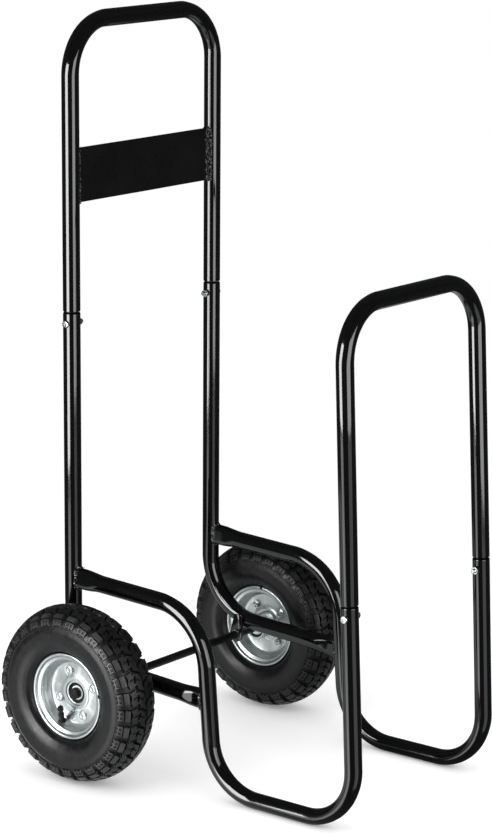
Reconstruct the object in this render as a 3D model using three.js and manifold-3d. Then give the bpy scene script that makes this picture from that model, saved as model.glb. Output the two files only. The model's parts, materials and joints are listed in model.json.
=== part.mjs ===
// Firewood log cart: two side frames of bent steel tube, a handle, a front loop and two
// air-filled wheels on one axle. The log bay faces -Y, the handle and the wheels are at +Y,
// +Z points up from the ground and +X is on the left hand of whoever pushes. Millimetres.

import * as THREE from 'three';
import { mergeVertices } from 'three/addons/utils/BufferGeometryUtils.js';
import Module from 'manifold-3d';

const wasm = await Module();
wasm.setup();

// Clearances
const seatGap = 0.3;
const overrun = 6;

// Tube stock, and the number of sides and steps that draw it
const tubeDiameter = 25;
const tubeWall = 1.5;
const tubeSides = 12;
const boreSides = 8;
const stepsPerQuarter = 4;

// Shape that the tube takes in a bend, under a foot and at a pinched, welded end
const bendTall = 23.4;
const bendWide = 25.8;
const footTall = 22.8;
const footWide = 26.2;
const pinchTall = 31;
const pinchWide = 14;
const pinchFlatLength = 22;
const pinchTaperLength = 34;
const pinchRoundShare = 0.72;
const pinchMarkShares = [0, 0.5, 1];

// Side frames: reaches are measured forward of the axle, heights from the ground
const frameSpacing = 317;
const uprightSetback = 63;
const rearCornerHeight = 155.5;
const rearBendRadius = 94;
const railFrontHeight = 140.5;
const topRailRearHeight = 277;
const topRailFrontHeight = 267;
const topRailBendRadius = 90;
const legTopReach = 179;
const legFootReach = 199.5;
const footFrontReach = 446.5;
const footRearBendRadius = 81;
const footFrontBendRadius = 79;
const frontLean = THREE.MathUtils.degToRad(2.6);

// Handle and front loop, pushed into the side frames
const handleJointHeight = 666;
const handleHeight = 1078;
const handleInset = 0;
const handleBendRadius = 76;
const frontJointHeight = 324;
const loopHeight = 730;
const loopInset = 2.6;
const loopBendRadius = 77;
const neckLength = 42;
const neckTaper = 3;

// Flat plate between the handle's legs: shares of the straight run from the joint to the bend
const plateRiseShare = 0.464;
const plateHeightShare = 0.232;
const plateThickness = 3;

// Weld beads
const beadRadius = 3;
const beadRipple = 0.6;
const beadRippleLength = 9;
const beadRingShares = [-1, 0, 1];
const beadSides = 6;

// Joint screws
const screwDiameter = 6;
const screwDrop = 15;
const screwHeadDiameter = 11;
const screwHeadHeight = 3.4;
const screwHeadTopDiameter = 7;
const screwEnd = 4;
const nutAcrossFlats = 10;
const nutHeight = 5;
const holeClearance = 0.4;
const fastenerSides = 8;

// Axle, its two brackets and what keeps the wheels on it
const axleDiameter = 12;
const axleChamfer = 1.5;
const axleOverhang = 8;
const axleEarWidth = 18;
const axleEarLength = 5;
const axleEarThickness = 4;
const bracketThickness = 4;
const bracketWidth = 28;
const bracketTopHeight = 162;
const bracketArcSteps = 6;
const hubStandoff = 19;
const washerThickness = 1.5;
const innerWasherDiameter = 24;
const outerWasherDiameter = 21;
const axleCapDiameter = 16;
const axleCapWall = 1.6;
const shaftSides = 12;

// Wheels
const wheelDiameter = 260;
const hubDiameter = 37;
const hubBoreDiameter = 30;
const hubInnerLength = 33;
const hubOuterLength = 3;
const bushLength = 10;
const bushRecess = 4;
const leftWheelTurn = THREE.MathUtils.degToRad(39);
const rightWheelTurn = THREE.MathUtils.degToRad(69);

// Pressed rim halves
const rimSheet = 1.8;
const rimLipDiameter = 125;
const rimLipReach = 24.6;
const rimLipHook = 3;
const rimFlangeReach = 20.5;
const rimSeatDiameter = 103;
const rimWebDiameter = 89;
const rimShoulderReach = 4;
const rimRingDiameter = 50;
const rimRingHeight = 2;
const rimNotchWidth = 2.4;
const rimNotchDepth = 6;
const outerNotchAngle = THREE.MathUtils.degToRad(100);
const innerNotchAngle = THREE.MathUtils.degToRad(-47);

// Bolts that clamp the rim halves
const rimBoltCount = 4;
const rimBoltCircleDiameter = 68;
const rimBoltDiameter = 6;
const rimBoltHeadDiameter = 13;
const rimBoltHeadTopDiameter = 8;
const rimBoltHeadHeight = 3;
const rimBoltEnd = 2.5;
const rimNutHeight = 4.5;
const rimBoltSides = 6;

// Tyre casing: shares run from the rim's lip to the crown, and of half the tyre's width
const tyreWidth = 73;
const tyreWall = 4.5;
const treadDepth = 4;
const tyreBeadWidth = 5;
const casingShares = [[0.06, 0.79], [0.36, 1], [0.62, 0.96], [1, 0.46]];
const liningShares = [[0.34, 1], [0.96, 0.56]];

// Tread, whose pitches are also the sides of the wheel's turned pieces: the lug's shares run from
// the rim's lip to the tread surface, and of its half width
const treadPitches = 18;
const centreBlockWidth = 30;
const centreBlockDepth = 9;
const centreBlockSkew = 9;
const blockLengthShare = 0.6;
const lugLengthShare = 0.56;
const lugRaise = 0.6;
const lugShares = [[0.596, 0.836], [0.615, 0.976], [0.744, 0.951], [0.967, 0.553], [0.872, 0.458]];

// Inner tube and its valve: shares of the room inside the tyre
const innerTubeHeightShare = 0.8;
const innerTubeWidthShare = 0.78;
const innerTubeWall = 1.6;
const innerTubeSides = 6;
const innerTubeSteps = 12;
const innerTubeLift = 4.6;
const valveAngle = THREE.MathUtils.degToRad(227);
const valveLean = THREE.MathUtils.degToRad(31);
const valveReach = 8;
const valveRoot = 13;
const valveDiameter = 8.5;
const valveBore = 2.6;
const valveTipDiameter = 52;
const valveCapDiameter = 7.5;
const valveCapLength = 9;
const valveSides = 8;

// Values worked out from the sizes above
const tubeRadius = tubeDiameter / 2;
const boreRadius = tubeRadius - tubeWall;
const neckRadius = boreRadius - seatGap;
const frameX = frameSpacing / 2;
const wheelRadius = wheelDiameter / 2;
const axleRadius = axleDiameter / 2;
const wheelX = frameX + tubeRadius + hubStandoff + hubInnerLength;
const footHeight = footTall / 2;
const handleStraight = handleHeight - handleBendRadius - handleJointHeight;
const plateHeight = plateHeightShare * handleStraight;
const plateBottom = handleJointHeight + plateRiseShare * handleStraight;
const innerTubeHeight = innerTubeHeightShare * (wheelRadius - treadDepth - tyreWall - rimSeatDiameter / 2);
const innerTubeWidth = innerTubeWidthShare * (tyreWidth - 2 * tyreWall);
const frontDirection = new THREE.Vector3(0, Math.sin(frontLean), Math.cos(frontLean));
const acrossCart = new THREE.Vector3(1, 0, 0);
const alongCart = new THREE.Vector3(0, 1, 0);
const upright = new THREE.Vector3(0, 0, 1);

// Finishes
const blackPaint = new THREE.MeshStandardMaterial({ color: 0x0b0b0d, roughness: 0.28, metalness: 0.1 });
const satinPaint = new THREE.MeshStandardMaterial({ color: 0x101012, roughness: 0.5, metalness: 0.1 });
const zincPlate = new THREE.MeshStandardMaterial({ color: 0xc4ccca, roughness: 0.25, metalness: 1 });
const tyreRubber = new THREE.MeshStandardMaterial({ color: 0x1b1b1c, roughness: 0.75, metalness: 0 });
const tubeRubber = new THREE.MeshStandardMaterial({ color: 0x121212, roughness: 0.8, metalness: 0 });
const blackPlastic = new THREE.MeshStandardMaterial({ color: 0x0e0e0f, roughness: 0.5, metalness: 0 });
const paleNylon = new THREE.MeshStandardMaterial({ color: 0xd9d8d2, roughness: 0.5, metalness: 0 });

// Closed geometry in, joins and cuts made as solids, geometry out
function solidOf(geometry) {
  const bare = geometry.clone();
  bare.deleteAttribute('normal');
  bare.deleteAttribute('uv');
  const merged = mergeVertices(bare);
  return new wasm.Manifold(new wasm.Mesh({
    numProp: 3,
    vertProperties: new Float32Array(merged.attributes.position.array),
    triVerts: new Uint32Array(merged.index.array),
  }));
}

function geometryOf(solid) {
  const mesh = solid.getMesh();
  const geometry = new THREE.BufferGeometry();
  geometry.setAttribute('position', new THREE.BufferAttribute(mesh.vertProperties, 3));
  geometry.setIndex(new THREE.BufferAttribute(mesh.triVerts, 1));
  geometry.computeVertexNormals();
  return geometry;
}

function joined(...geometries) {
  return geometryOf(geometries.map(solidOf).reduce((sum, piece) => sum.add(piece)));
}

function cut(geometry, ...cutters) {
  return geometryOf(cutters.map(solidOf).reduce((rest, piece) => rest.subtract(piece), solidOf(geometry)));
}

// Point at a distance along the straight line from one point towards another
function towards(from, to, distance) {
  return from.clone().addScaledVector(to.clone().sub(from).normalize(), distance);
}

// Stations along straight runs and round bends, with extra ones at distances from either end
function bentRoute(corners, radii, startMarks = [], endMarks = []) {
  const last = corners.length - 1;
  const firstAlong = corners[1].clone().sub(corners[0]).normalize();
  const lastAlong = corners[last].clone().sub(corners[last - 1]).normalize();
  const stations = [0, ...startMarks].map((mark) => ({
    point: towards(corners[0], corners[1], mark),
    along: firstAlong,
    fromStart: mark,
  }));
  for (let k = 1; k < last; k += 1) {
    const before = corners[k].clone().sub(corners[k - 1]).normalize();
    const after = corners[k + 1].clone().sub(corners[k]).normalize();
    const turn = before.angleTo(after);
    const radius = radii[k - 1];
    const start = corners[k].clone().addScaledVector(before, -radius * Math.tan(turn / 2));
    const inward = after.clone().addScaledVector(before, -after.dot(before)).normalize();
    const centre = start.clone().addScaledVector(inward, radius);
    const steps = Math.max(2, Math.round((turn / (Math.PI / 2)) * stepsPerQuarter));
    for (let s = 0; s <= steps; s += 1) {
      const angle = (turn * s) / steps;
      stations.push({
        point: centre.clone()
          .addScaledVector(inward, -radius * Math.cos(angle))
          .addScaledVector(before, radius * Math.sin(angle)),
        along: before.clone().multiplyScalar(Math.cos(angle)).addScaledVector(inward, Math.sin(angle)),
        bend: k,
        bendShare: s / steps,
      });
    }
  }
  [0, ...endMarks].reverse().forEach((mark) => stations.push({
    point: towards(corners[last], corners[last - 1], mark),
    along: lastAlong,
    fromEnd: mark,
  }));
  return stations;
}

// Ring of a tube: its flats lie half its tall size away in the bend's plane, half its wide size across
function sectionRing(station, across, section, sides) {
  const normal = new THREE.Vector3().crossVectors(across, station.along);
  const overFlats = 1 / Math.cos(Math.PI / sides);
  const roundShare = section.roundShare ?? 1;
  const shaped = (value) => Math.sign(value) * Math.abs(value) ** roundShare;
  return Array.from({ length: sides }, (_, i) => {
    const angle = (2 * Math.PI * (i + 0.5)) / sides;
    return station.point.clone()
      .addScaledVector(normal, shaped(Math.cos(angle)) * (section.tall / 2) * overFlats)
      .addScaledVector(across, shaped(Math.sin(angle)) * (section.wide / 2) * overFlats);
  });
}

// Closed skin over a row of rings with equal numbers of points
function skinOf(rings) {
  const count = rings[0].length;
  const index = [];
  for (let r = 0; r < rings.length - 1; r += 1) {
    for (let i = 0; i < count; i += 1) {
      const a = r * count + i;
      const b = r * count + ((i + 1) % count);
      index.push(a, b, b + count, a, b + count, a + count);
    }
  }
  const end = (rings.length - 1) * count;
  for (let i = 1; i < count - 1; i += 1) {
    index.push(0, i + 1, i, end, end + i, end + i + 1);
  }
  const geometry = new THREE.BufferGeometry().setFromPoints(rings.flat());
  geometry.setIndex(index);
  return geometry;
}

function tubeSkin(stations, across, sectionAt) {
  return skinOf(stations.map((station) => sectionRing(station, across, sectionAt(station), tubeSides)));
}

function boreSkin(stations, across, sectionAt) {
  return skinOf(stations.map((station) => {
    const section = sectionAt(station);
    const open = { ...section, tall: section.tall - 2 * tubeWall, wide: section.wide - 2 * tubeWall };
    return sectionRing(station, across, open, boreSides);
  }));
}

// Straight round bar between two points
function bar(from, to, diameter, across, sides = tubeSides) {
  const section = { tall: diameter, wide: diameter };
  return skinOf(bentRoute([from, to], []).map((station) => sectionRing(station, across, section, sides)));
}

// Section of a tube that is a little flattened within its bends
function bentSection(station) {
  return station.bendShare > 0 && station.bendShare < 1
    ? { tall: bendTall, wide: bendWide }
    : { tall: tubeDiameter, wide: tubeDiameter };
}

// Section near a pinched end that butts against an upright tube's axis
function pinchedSection(fromEnd, plain) {
  if (fromEnd === undefined) {
    return plain;
  }
  const taperStart = tubeRadius + pinchFlatLength;
  const share = THREE.MathUtils.smoothstep(fromEnd, taperStart, taperStart + pinchTaperLength);
  return {
    tall: THREE.MathUtils.lerp(pinchTall, plain.tall, share),
    wide: THREE.MathUtils.lerp(pinchWide, plain.wide, share),
    roundShare: THREE.MathUtils.lerp(pinchRoundShare, 1, share),
  };
}

const pinchMarks = pinchMarkShares.map((share) => tubeRadius + pinchFlatLength + share * pinchTaperLength);

// Rippled weld bead round a pinched end, following the curve of the tube that it meets
function endBead(end, from) {
  const along = end.clone().sub(from).normalize();
  const station = { point: towards(end, from, tubeRadius + beadRadius), along };
  const section = { tall: pinchTall, wide: pinchWide, roundShare: pinchRoundShare };
  const around = sectionRing(station, acrossCart, section, tubeSides);
  return skinOf(beadRingShares.map((share) => around.map((point, i) => {
    const swell = beadRadius * Math.sqrt(1 - share * share);
    const ripple = swell > 0 ? beadRipple * (i % 2 ? 1 : -1) : 0;
    const aside = point.x - station.point.x;
    const curve = tubeRadius - Math.sqrt(tubeRadius * tubeRadius - aside * aside);
    return point.clone()
      .addScaledVector(point.clone().sub(station.point).normalize(), swell + ripple)
      .addScaledVector(along, share * beadRadius + curve);
  })));
}

// Corners of the side frame, all in one plane
const inPlane = (reach, height) => new THREE.Vector3(0, -reach, height);
const uprightTop = inPlane(-uprightSetback, handleJointHeight);
const rearCorner = inPlane(-uprightSetback, rearCornerHeight);
const topRailRear = inPlane(-uprightSetback, topRailRearHeight);
const legTop = inPlane(legTopReach, topRailFrontHeight);
const footRear = inPlane(legFootReach, footHeight);
const footFront = inPlane(footFrontReach, footHeight);
const frontTop = footFront.clone()
  .addScaledVector(frontDirection, (frontJointHeight - footHeight) / frontDirection.z);
const railFrontShare = (railFrontHeight - footHeight) / (topRailFrontHeight - footHeight);
const railFront = footRear.clone().lerp(legTop, railFrontShare);

// Hole across a tube for a joint screw
function screwHole(centre) {
  const reach = acrossCart.clone().multiplyScalar(tubeRadius + overrun);
  return bar(centre.clone().sub(reach), centre.clone().add(reach),
    screwDiameter + 2 * holeClearance, alongCart, fastenerSides);
}

// Bore that takes a necked tube, from above its mouth to below the neck's end
function socketBore(mouth, downwards) {
  return bar(mouth.clone().addScaledVector(downwards, -overrun),
    mouth.clone().addScaledVector(downwards, neckLength + seatGap), 2 * boreRadius, acrossCart);
}

// Rear upright that bends forward into the lower rail
function rearFrameGeometry() {
  const section = (station) => pinchedSection(station.fromEnd, bentSection(station));
  const outside = bentRoute([uprightTop, rearCorner, railFront], [rearBendRadius], [], pinchMarks);
  const openTop = towards(rearCorner, uprightTop, handleJointHeight - rearCornerHeight + overrun);
  const inside = bentRoute([openTop, rearCorner, railFront], [rearBendRadius], [], pinchMarks);
  const downwards = upright.clone().negate();
  return cut(
    joined(tubeSkin(outside, acrossCart, section), endBead(railFront, rearCorner)),
    boreSkin(inside, acrossCart, section),
    bar(footRear, legTop, tubeDiameter + 2 * seatGap, acrossCart),
    socketBore(uprightTop, downwards),
    screwHole(uprightTop.clone().addScaledVector(downwards, screwDrop)),
  );
}

// Top rail, leg, foot and front post in one tube
function footFrameGeometry() {
  const radii = [topRailBendRadius, footRearBendRadius, footFrontBendRadius];
  const section = (station) => {
    const onFoot = (station.bend === 2 && station.bendShare > 0) || (station.bend === 3 && station.bendShare < 1);
    return onFoot ? { tall: footTall, wide: footWide } : pinchedSection(station.fromStart, bentSection(station));
  };
  const corners = [topRailRear, legTop, footRear, footFront, frontTop];
  const outside = bentRoute(corners, radii, pinchMarks);
  const openTop = frontTop.clone().addScaledVector(frontDirection, overrun);
  const inside = bentRoute([...corners.slice(0, -1), openTop], radii, pinchMarks);
  const downwards = frontDirection.clone().negate();
  return cut(
    joined(tubeSkin(outside, acrossCart, section), endBead(topRailRear, legTop)),
    boreSkin(inside, acrossCart, section),
    bar(rearCorner, uprightTop, tubeDiameter + 2 * seatGap, acrossCart),
    socketBore(frontTop, downwards),
    screwHole(frontTop.clone().addScaledVector(downwards, screwDrop)),
  );
}

// Inverted U with necked legs that push into two sockets
function loopGeometry(joint, upwards, rise, inset, bendRadius) {
  const across = new THREE.Vector3().crossVectors(upwards, acrossCart);
  const at = (sideX, height) => joint.clone()
    .addScaledVector(acrossCart, sideX)
    .addScaledVector(upwards, height);
  const downwards = upwards.clone().negate();
  const neck = (sideX, height, along) => ({ point: at(sideX, height), along, necked: true });
  const route = (neckEnd) => [
    neck(-frameX, -neckEnd, upwards),
    neck(-frameX, seatGap, upwards),
    ...bentRoute([
      at(-frameX, seatGap + neckTaper),
      at(inset - frameX, rise),
      at(frameX - inset, rise),
      at(frameX, seatGap + neckTaper),
    ], [bendRadius, bendRadius]),
    neck(frameX, seatGap, downwards),
    neck(frameX, -neckEnd, downwards),
  ];
  const section = (station) => (station.necked
    ? { tall: 2 * neckRadius, wide: 2 * neckRadius }
    : bentSection(station));
  return cut(
    tubeSkin(route(neckLength), across, section),
    boreSkin(route(neckLength + overrun), across, section),
    screwHole(at(-frameX, -screwDrop)),
    screwHole(at(frameX, -screwDrop)),
  );
}

// Plate with a rippled bead up each end, hollowed to fit against the handle's legs
function plateGeometry() {
  const endX = frameX - tubeRadius - seatGap;
  const beadHeight = plateHeight + 2 * beadRadius;
  const ripples = Math.round(beadHeight / beadRippleLength);
  const plate = new THREE.BoxGeometry(2 * endX, plateThickness, plateHeight);
  const bead = (side) => skinOf(Array.from({ length: ripples + 1 }, (_, k) => {
    const atTip = k === 0 || k === ripples;
    const swell = atTip ? beadRadius / 2 : beadRadius + beadRipple * (k % 2 ? 1 : -1);
    const station = {
      point: new THREE.Vector3(side * endX, 0, (k / ripples - 0.5) * beadHeight),
      along: upright,
    };
    const section = { tall: 2 * beadRadius, wide: plateThickness + swell };
    return sectionRing(station, alongCart, section, beadSides);
  }));
  const leg = (side) => bar(new THREE.Vector3(side * frameX, 0, -plateHeight),
    new THREE.Vector3(side * frameX, 0, plateHeight), tubeDiameter + 2 * seatGap, alongCart);
  return cut(joined(plate, bead(-1), bead(1)), leg(-1), leg(1));
}

// Turned body about the local Y axis; an outline off the axis closes on itself
function turned(outline, sides) {
  const points = outline.map(([radius, height]) => new THREE.Vector2(radius, height));
  if (outline[0][0] > 0) {
    points.push(points[0].clone());
  }
  return new THREE.LatheGeometry(points, sides);
}

function ring(innerRadius, outerRadius, low, high, sides) {
  return turned([[innerRadius, low], [outerRadius, low], [outerRadius, high], [innerRadius, high]], sides);
}

// Pan-head screw through a tube whose centre is the origin, its head towards local +Y
function screwGeometry() {
  const radius = screwDiameter / 2;
  const seat = tubeRadius + seatGap;
  const tip = -seat - nutHeight - screwEnd;
  return turned([
    [0, tip],
    [radius, tip],
    [radius, seat],
    [screwHeadDiameter / 2, seat],
    [screwHeadDiameter / 2, seat + screwHeadHeight / 2],
    [screwHeadTopDiameter / 2, seat + screwHeadHeight],
    [0, seat + screwHeadHeight],
  ], fastenerSides);
}

// Hexagon nut standing from its base along local +Y
function nutGeometry(height, threadDiameter) {
  const corner = nutAcrossFlats / Math.sqrt(3);
  const bore = threadDiameter / 2 + seatGap;
  const hexagon = (radius) => Array.from({ length: 6 }, (_, i) => {
    const angle = (2 * Math.PI * i) / 6;
    return new THREE.Vector2(radius * Math.cos(angle), radius * Math.sin(angle));
  });
  const outline = new THREE.Shape(hexagon(corner));
  outline.holes.push(new THREE.Path(hexagon(bore * 2 / Math.sqrt(3)).reverse()));
  return new THREE.ExtrudeGeometry(outline, { depth: height, bevelEnabled: false }).rotateX(-Math.PI / 2);
}

// Faces inside the hub that the bushes, washers and axle ears stack against
const innerBushFace = bushRecess - hubInnerLength;
const outerBushFace = hubOuterLength - bushRecess;
const earCentre = innerBushFace - 2 * seatGap - washerThickness - axleEarLength / 2;

// Axle with chamfered ends and two pressed ears that hold each wheel outboard
function axleGeometry() {
  const end = wheelX + axleOverhang;
  const rod = turned([
    [0, -end],
    [axleRadius - axleChamfer, -end],
    [axleRadius, axleChamfer - end],
    [axleRadius, end - axleChamfer],
    [axleRadius - axleChamfer, end],
    [0, end],
  ], shaftSides);
  const ear = new THREE.BoxGeometry(axleEarWidth, axleEarLength, axleEarThickness);
  const place = wheelX + earCentre;
  return joined(rod, ear.clone().translate(0, place, 0), ear.clone().translate(0, -place, 0));
}

// Round-ended tab on the lower rail's inner flank, with the weld ring that holds the axle
function bracketGeometry() {
  const half = bracketWidth / 2;
  const top = bracketTopHeight - wheelRadius;
  const weldTop = bracketThickness + beadRadius;
  const outline = new THREE.Shape();
  outline.moveTo(half, top);
  outline.lineTo(-half, top);
  outline.lineTo(-half, 0);
  outline.absarc(0, 0, half, Math.PI, 2 * Math.PI, false);
  const tab = new THREE.ExtrudeGeometry(outline, {
    depth: bracketThickness, bevelEnabled: false, curveSegments: bracketArcSteps,
  }).rotateX(Math.PI / 2).translate(0, bracketThickness, 0);
  const weld = turned([
    [axleRadius, bracketThickness / 2],
    [axleRadius + beadRadius, bracketThickness / 2],
    [axleRadius + beadRadius, bracketThickness],
    [axleRadius + beadRadius / 2, weldTop],
    [axleRadius, weldTop],
  ], shaftSides);
  const bore = turned([
    [0, -overrun],
    [axleRadius + seatGap, -overrun],
    [axleRadius + seatGap, weldTop + overrun],
    [0, weldTop + overrun],
  ], shaftSides);
  return cut(joined(tab, weld), bore);
}

// Cap pushed over the end of the axle, its skirt reaching in to the outer washer
function axleCapGeometry() {
  const radius = axleCapDiameter / 2;
  const bore = axleRadius + seatGap;
  const low = outerBushFace + 2 * seatGap + washerThickness;
  const high = axleOverhang + seatGap + axleCapWall;
  return turned([
    [0, axleOverhang + seatGap],
    [bore, axleOverhang + seatGap],
    [bore, low],
    [radius, low],
    [radius, high - axleCapWall / 2],
    [radius - axleCapWall / 2, high],
    [0, high],
  ], shaftSides);
}

// Outline of a rim half from the hub hole out to its rolled lip, in sheet of one thickness
function rimOutline() {
  const half = rimSheet / 2;
  const low = seatGap / 2;
  const hole = hubDiameter / 2 + seatGap;
  const web = rimWebDiameter / 2;
  const seat = rimSeatDiameter / 2;
  const lip = rimLipDiameter / 2;
  const ringEdge = rimRingDiameter / 2;
  return [
    [hole, low + rimRingHeight],
    [ringEdge, low],
    [web + half, low],
    [seat - half, rimShoulderReach],
    [seat + half, rimFlangeReach - rimSheet],
    [lip - half, rimLipReach - rimLipHook],
    [lip + half, rimLipReach - rimLipHook],
    [lip, rimLipReach],
    [seat + half, rimFlangeReach + half],
    [seat - rimSheet, rimFlangeReach - rimSheet],
    [seat - half - rimSheet, rimShoulderReach + half],
    [web - half, low + rimSheet],
    [ringEdge, low + rimSheet],
    [hole, low + rimSheet + rimRingHeight],
  ];
}

const rimBoltPlaces = Array.from({ length: rimBoltCount }, (_, i) => {
  const angle = (2 * Math.PI * i) / rimBoltCount;
  const radius = rimBoltCircleDiameter / 2;
  return new THREE.Vector3(radius * Math.cos(angle), 0, radius * Math.sin(angle));
});

// Valve line: out of the rim's barrel, in towards the hub and outboard
const valveRadial = new THREE.Vector3(Math.cos(valveAngle), 0, Math.sin(valveAngle));
const valveLine = valveRadial.clone().multiplyScalar(-Math.cos(valveLean))
  .addScaledVector(alongCart, Math.sin(valveLean));
const valveAcross = new THREE.Vector3().crossVectors(valveRadial, alongCart);
const valveSeat = valveRadial.clone().multiplyScalar(rimSeatDiameter / 2).addScaledVector(alongCart, valveReach);
const valveLength = (rimSeatDiameter - valveTipDiameter) / 2 / Math.cos(valveLean);

function valveBar(from, to, diameter) {
  return bar(valveSeat.clone().addScaledVector(valveLine, from),
    valveSeat.clone().addScaledVector(valveLine, to), diameter, valveAcross, valveSides);
}

// Pressed rim half with bolt holes and a notch in its lip; the outer one has the valve hole
function rimHalfGeometry(notchAngle, hasValve) {
  const holeRadius = rimBoltDiameter / 2 + holeClearance;
  const hole = turned([[0, -overrun], [holeRadius, -overrun], [holeRadius, overrun], [0, overrun]], rimBoltSides);
  const holes = rimBoltPlaces.map((place) => hole.clone().translate(place.x, place.y, place.z));
  const notch = new THREE.BoxGeometry(rimNotchDepth + overrun, rimLipReach, rimNotchWidth)
    .translate((rimLipDiameter - rimNotchDepth + overrun) / 2, rimLipReach, 0)
    .rotateY(-notchAngle);
  const valveHole = valveBar(-overrun, valveDiameter, valveDiameter + 2 * seatGap);
  return cut(turned(rimOutline(), treadPitches), ...holes, notch, ...(hasValve ? [valveHole] : []));
}

// Rim bolt with a low round head towards local +Y, its middle between the rim halves
const rimFace = seatGap / 2 + rimSheet + seatGap;

function rimBoltGeometry() {
  const radius = rimBoltDiameter / 2;
  const tip = -rimFace - rimNutHeight - rimBoltEnd;
  return turned([
    [0, tip],
    [radius, tip],
    [radius, rimFace],
    [rimBoltHeadDiameter / 2, rimFace],
    [rimBoltHeadTopDiameter / 2, rimFace + rimBoltHeadHeight],
    [0, rimFace + rimBoltHeadHeight],
  ], rimBoltSides);
}

// Knobbly tyre: casing, a row of skewed blocks on the crown and a row of lugs on each shoulder
function tyreGeometry() {
  const lip = rimLipDiameter / 2 + rimSheet / 2 + seatGap;
  const beadFoot = rimSeatDiameter / 2 + rimSheet / 2 + seatGap;
  const beadFace = rimFlangeReach - rimSheet - 2 * seatGap;
  const crown = wheelRadius - treadDepth;
  const halfWidth = tyreWidth / 2;
  const shaped = (shares, inset) => shares.map(([radialShare, widthShare]) => [
    THREE.MathUtils.lerp(lip, crown - inset, radialShare),
    (halfWidth - inset) * widthShare,
  ]);
  const outer = [
    [beadFoot, beadFace - tyreBeadWidth],
    [beadFoot, beadFace],
    [lip, rimLipReach - rimLipHook - seatGap],
    ...shaped(casingShares, 0),
  ];
  const inner = shaped(liningShares, tyreWall);
  const mirrored = (points) => points.map(([radius, reach]) => [radius, -reach]);
  const casing = turned(
    [...mirrored(outer), ...[...outer].reverse(), ...inner, ...mirrored(inner).reverse()],
    treadPitches,
  );

  const pitch = (2 * Math.PI * wheelRadius) / treadPitches;
  const lugLength = pitch * lugLengthShare;
  const lugHalfWidth = halfWidth + lugRaise;
  const lugOutline = new THREE.Shape(lugShares.map(([radialShare, widthShare]) => new THREE.Vector2(
    THREE.MathUtils.lerp(lip, wheelRadius, radialShare), lugHalfWidth * widthShare)));
  const lug = new THREE.ExtrudeGeometry(lugOutline, { depth: lugLength, bevelEnabled: false })
    .translate(0, 0, -lugLength / 2);

  const blockLength = pitch * blockLengthShare;
  const wide = centreBlockWidth / 2;
  const skew = centreBlockSkew / 2;
  const top = Math.sqrt(wheelRadius ** 2 - ((blockLength + centreBlockSkew) / 2) ** 2);
  const blockOutline = new THREE.Shape([
    new THREE.Vector2(-wide, -blockLength / 2 - skew),
    new THREE.Vector2(wide, -blockLength / 2 + skew),
    new THREE.Vector2(wide, blockLength / 2 + skew),
    new THREE.Vector2(-wide, blockLength / 2 - skew),
  ]);
  const block = new THREE.ExtrudeGeometry(blockOutline, { depth: centreBlockDepth, bevelEnabled: false })
    .translate(0, 0, top - centreBlockDepth);

  const step = (2 * Math.PI) / treadPitches;
  const knobs = Array.from({ length: treadPitches }, (_, i) => {
    const place = (i + 0.5) * step;
    return [
      lug.clone().rotateY(place - Math.PI / 2),
      lug.clone().rotateX(Math.PI).rotateY(place - Math.PI / 2),
      block.clone().rotateZ(Math.PI / 2).rotateY(place),
    ];
  }).flat();
  return joined(casing, ...knobs);
}

// Hollow inner tube whose valve stem opens the way out
function innerTubeGeometry() {
  const middle = rimSeatDiameter / 2 + innerTubeLift + innerTubeHeight / 2;
  const loop = (inset) => turned(Array.from({ length: innerTubeSides }, (_, i) => {
    const angle = (2 * Math.PI * i) / innerTubeSides;
    return [
      middle + (innerTubeHeight / 2 - inset) * Math.cos(angle),
      (innerTubeWidth / 2 - inset) * Math.sin(angle),
    ];
  }), innerTubeSteps);
  return cut(
    joined(loop(0), valveBar(-valveRoot, valveLength, valveDiameter)),
    loop(innerTubeWall),
    valveBar(-valveRoot - overrun, valveLength + overrun, valveBore),
  );
}

// Small cap over the end of the valve
function valveCapGeometry() {
  return valveBar(valveLength + seatGap, valveLength + seatGap + valveCapLength, valveCapDiameter);
}

// Names and places the meshes
function mesh(name, geometry, material, parent) {
  const piece = new THREE.Mesh(geometry, material);
  piece.name = name;
  parent.add(piece);
  return piece;
}

// Group on a side of the cart whose local +Y points outboard
function outboard(side, place, parent) {
  const group = new THREE.Group();
  group.position.copy(place);
  group.rotation.z = (-side * Math.PI) / 2;
  parent.add(group);
  return group;
}

const cart = new THREE.Group();

mesh('handle', loopGeometry(uprightTop, upright, handleHeight - handleJointHeight,
  handleInset, handleBendRadius), blackPaint, cart);
mesh('front_loop', loopGeometry(frontTop, frontDirection, (loopHeight - frontJointHeight) / frontDirection.z,
  loopInset, loopBendRadius), blackPaint, cart);
mesh('handle_plate', plateGeometry(), blackPaint, cart)
  .position.set(0, uprightSetback, plateBottom + plateHeight / 2);
mesh('axle', axleGeometry(), satinPaint, outboard(1, new THREE.Vector3(0, 0, wheelRadius), cart));

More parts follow.
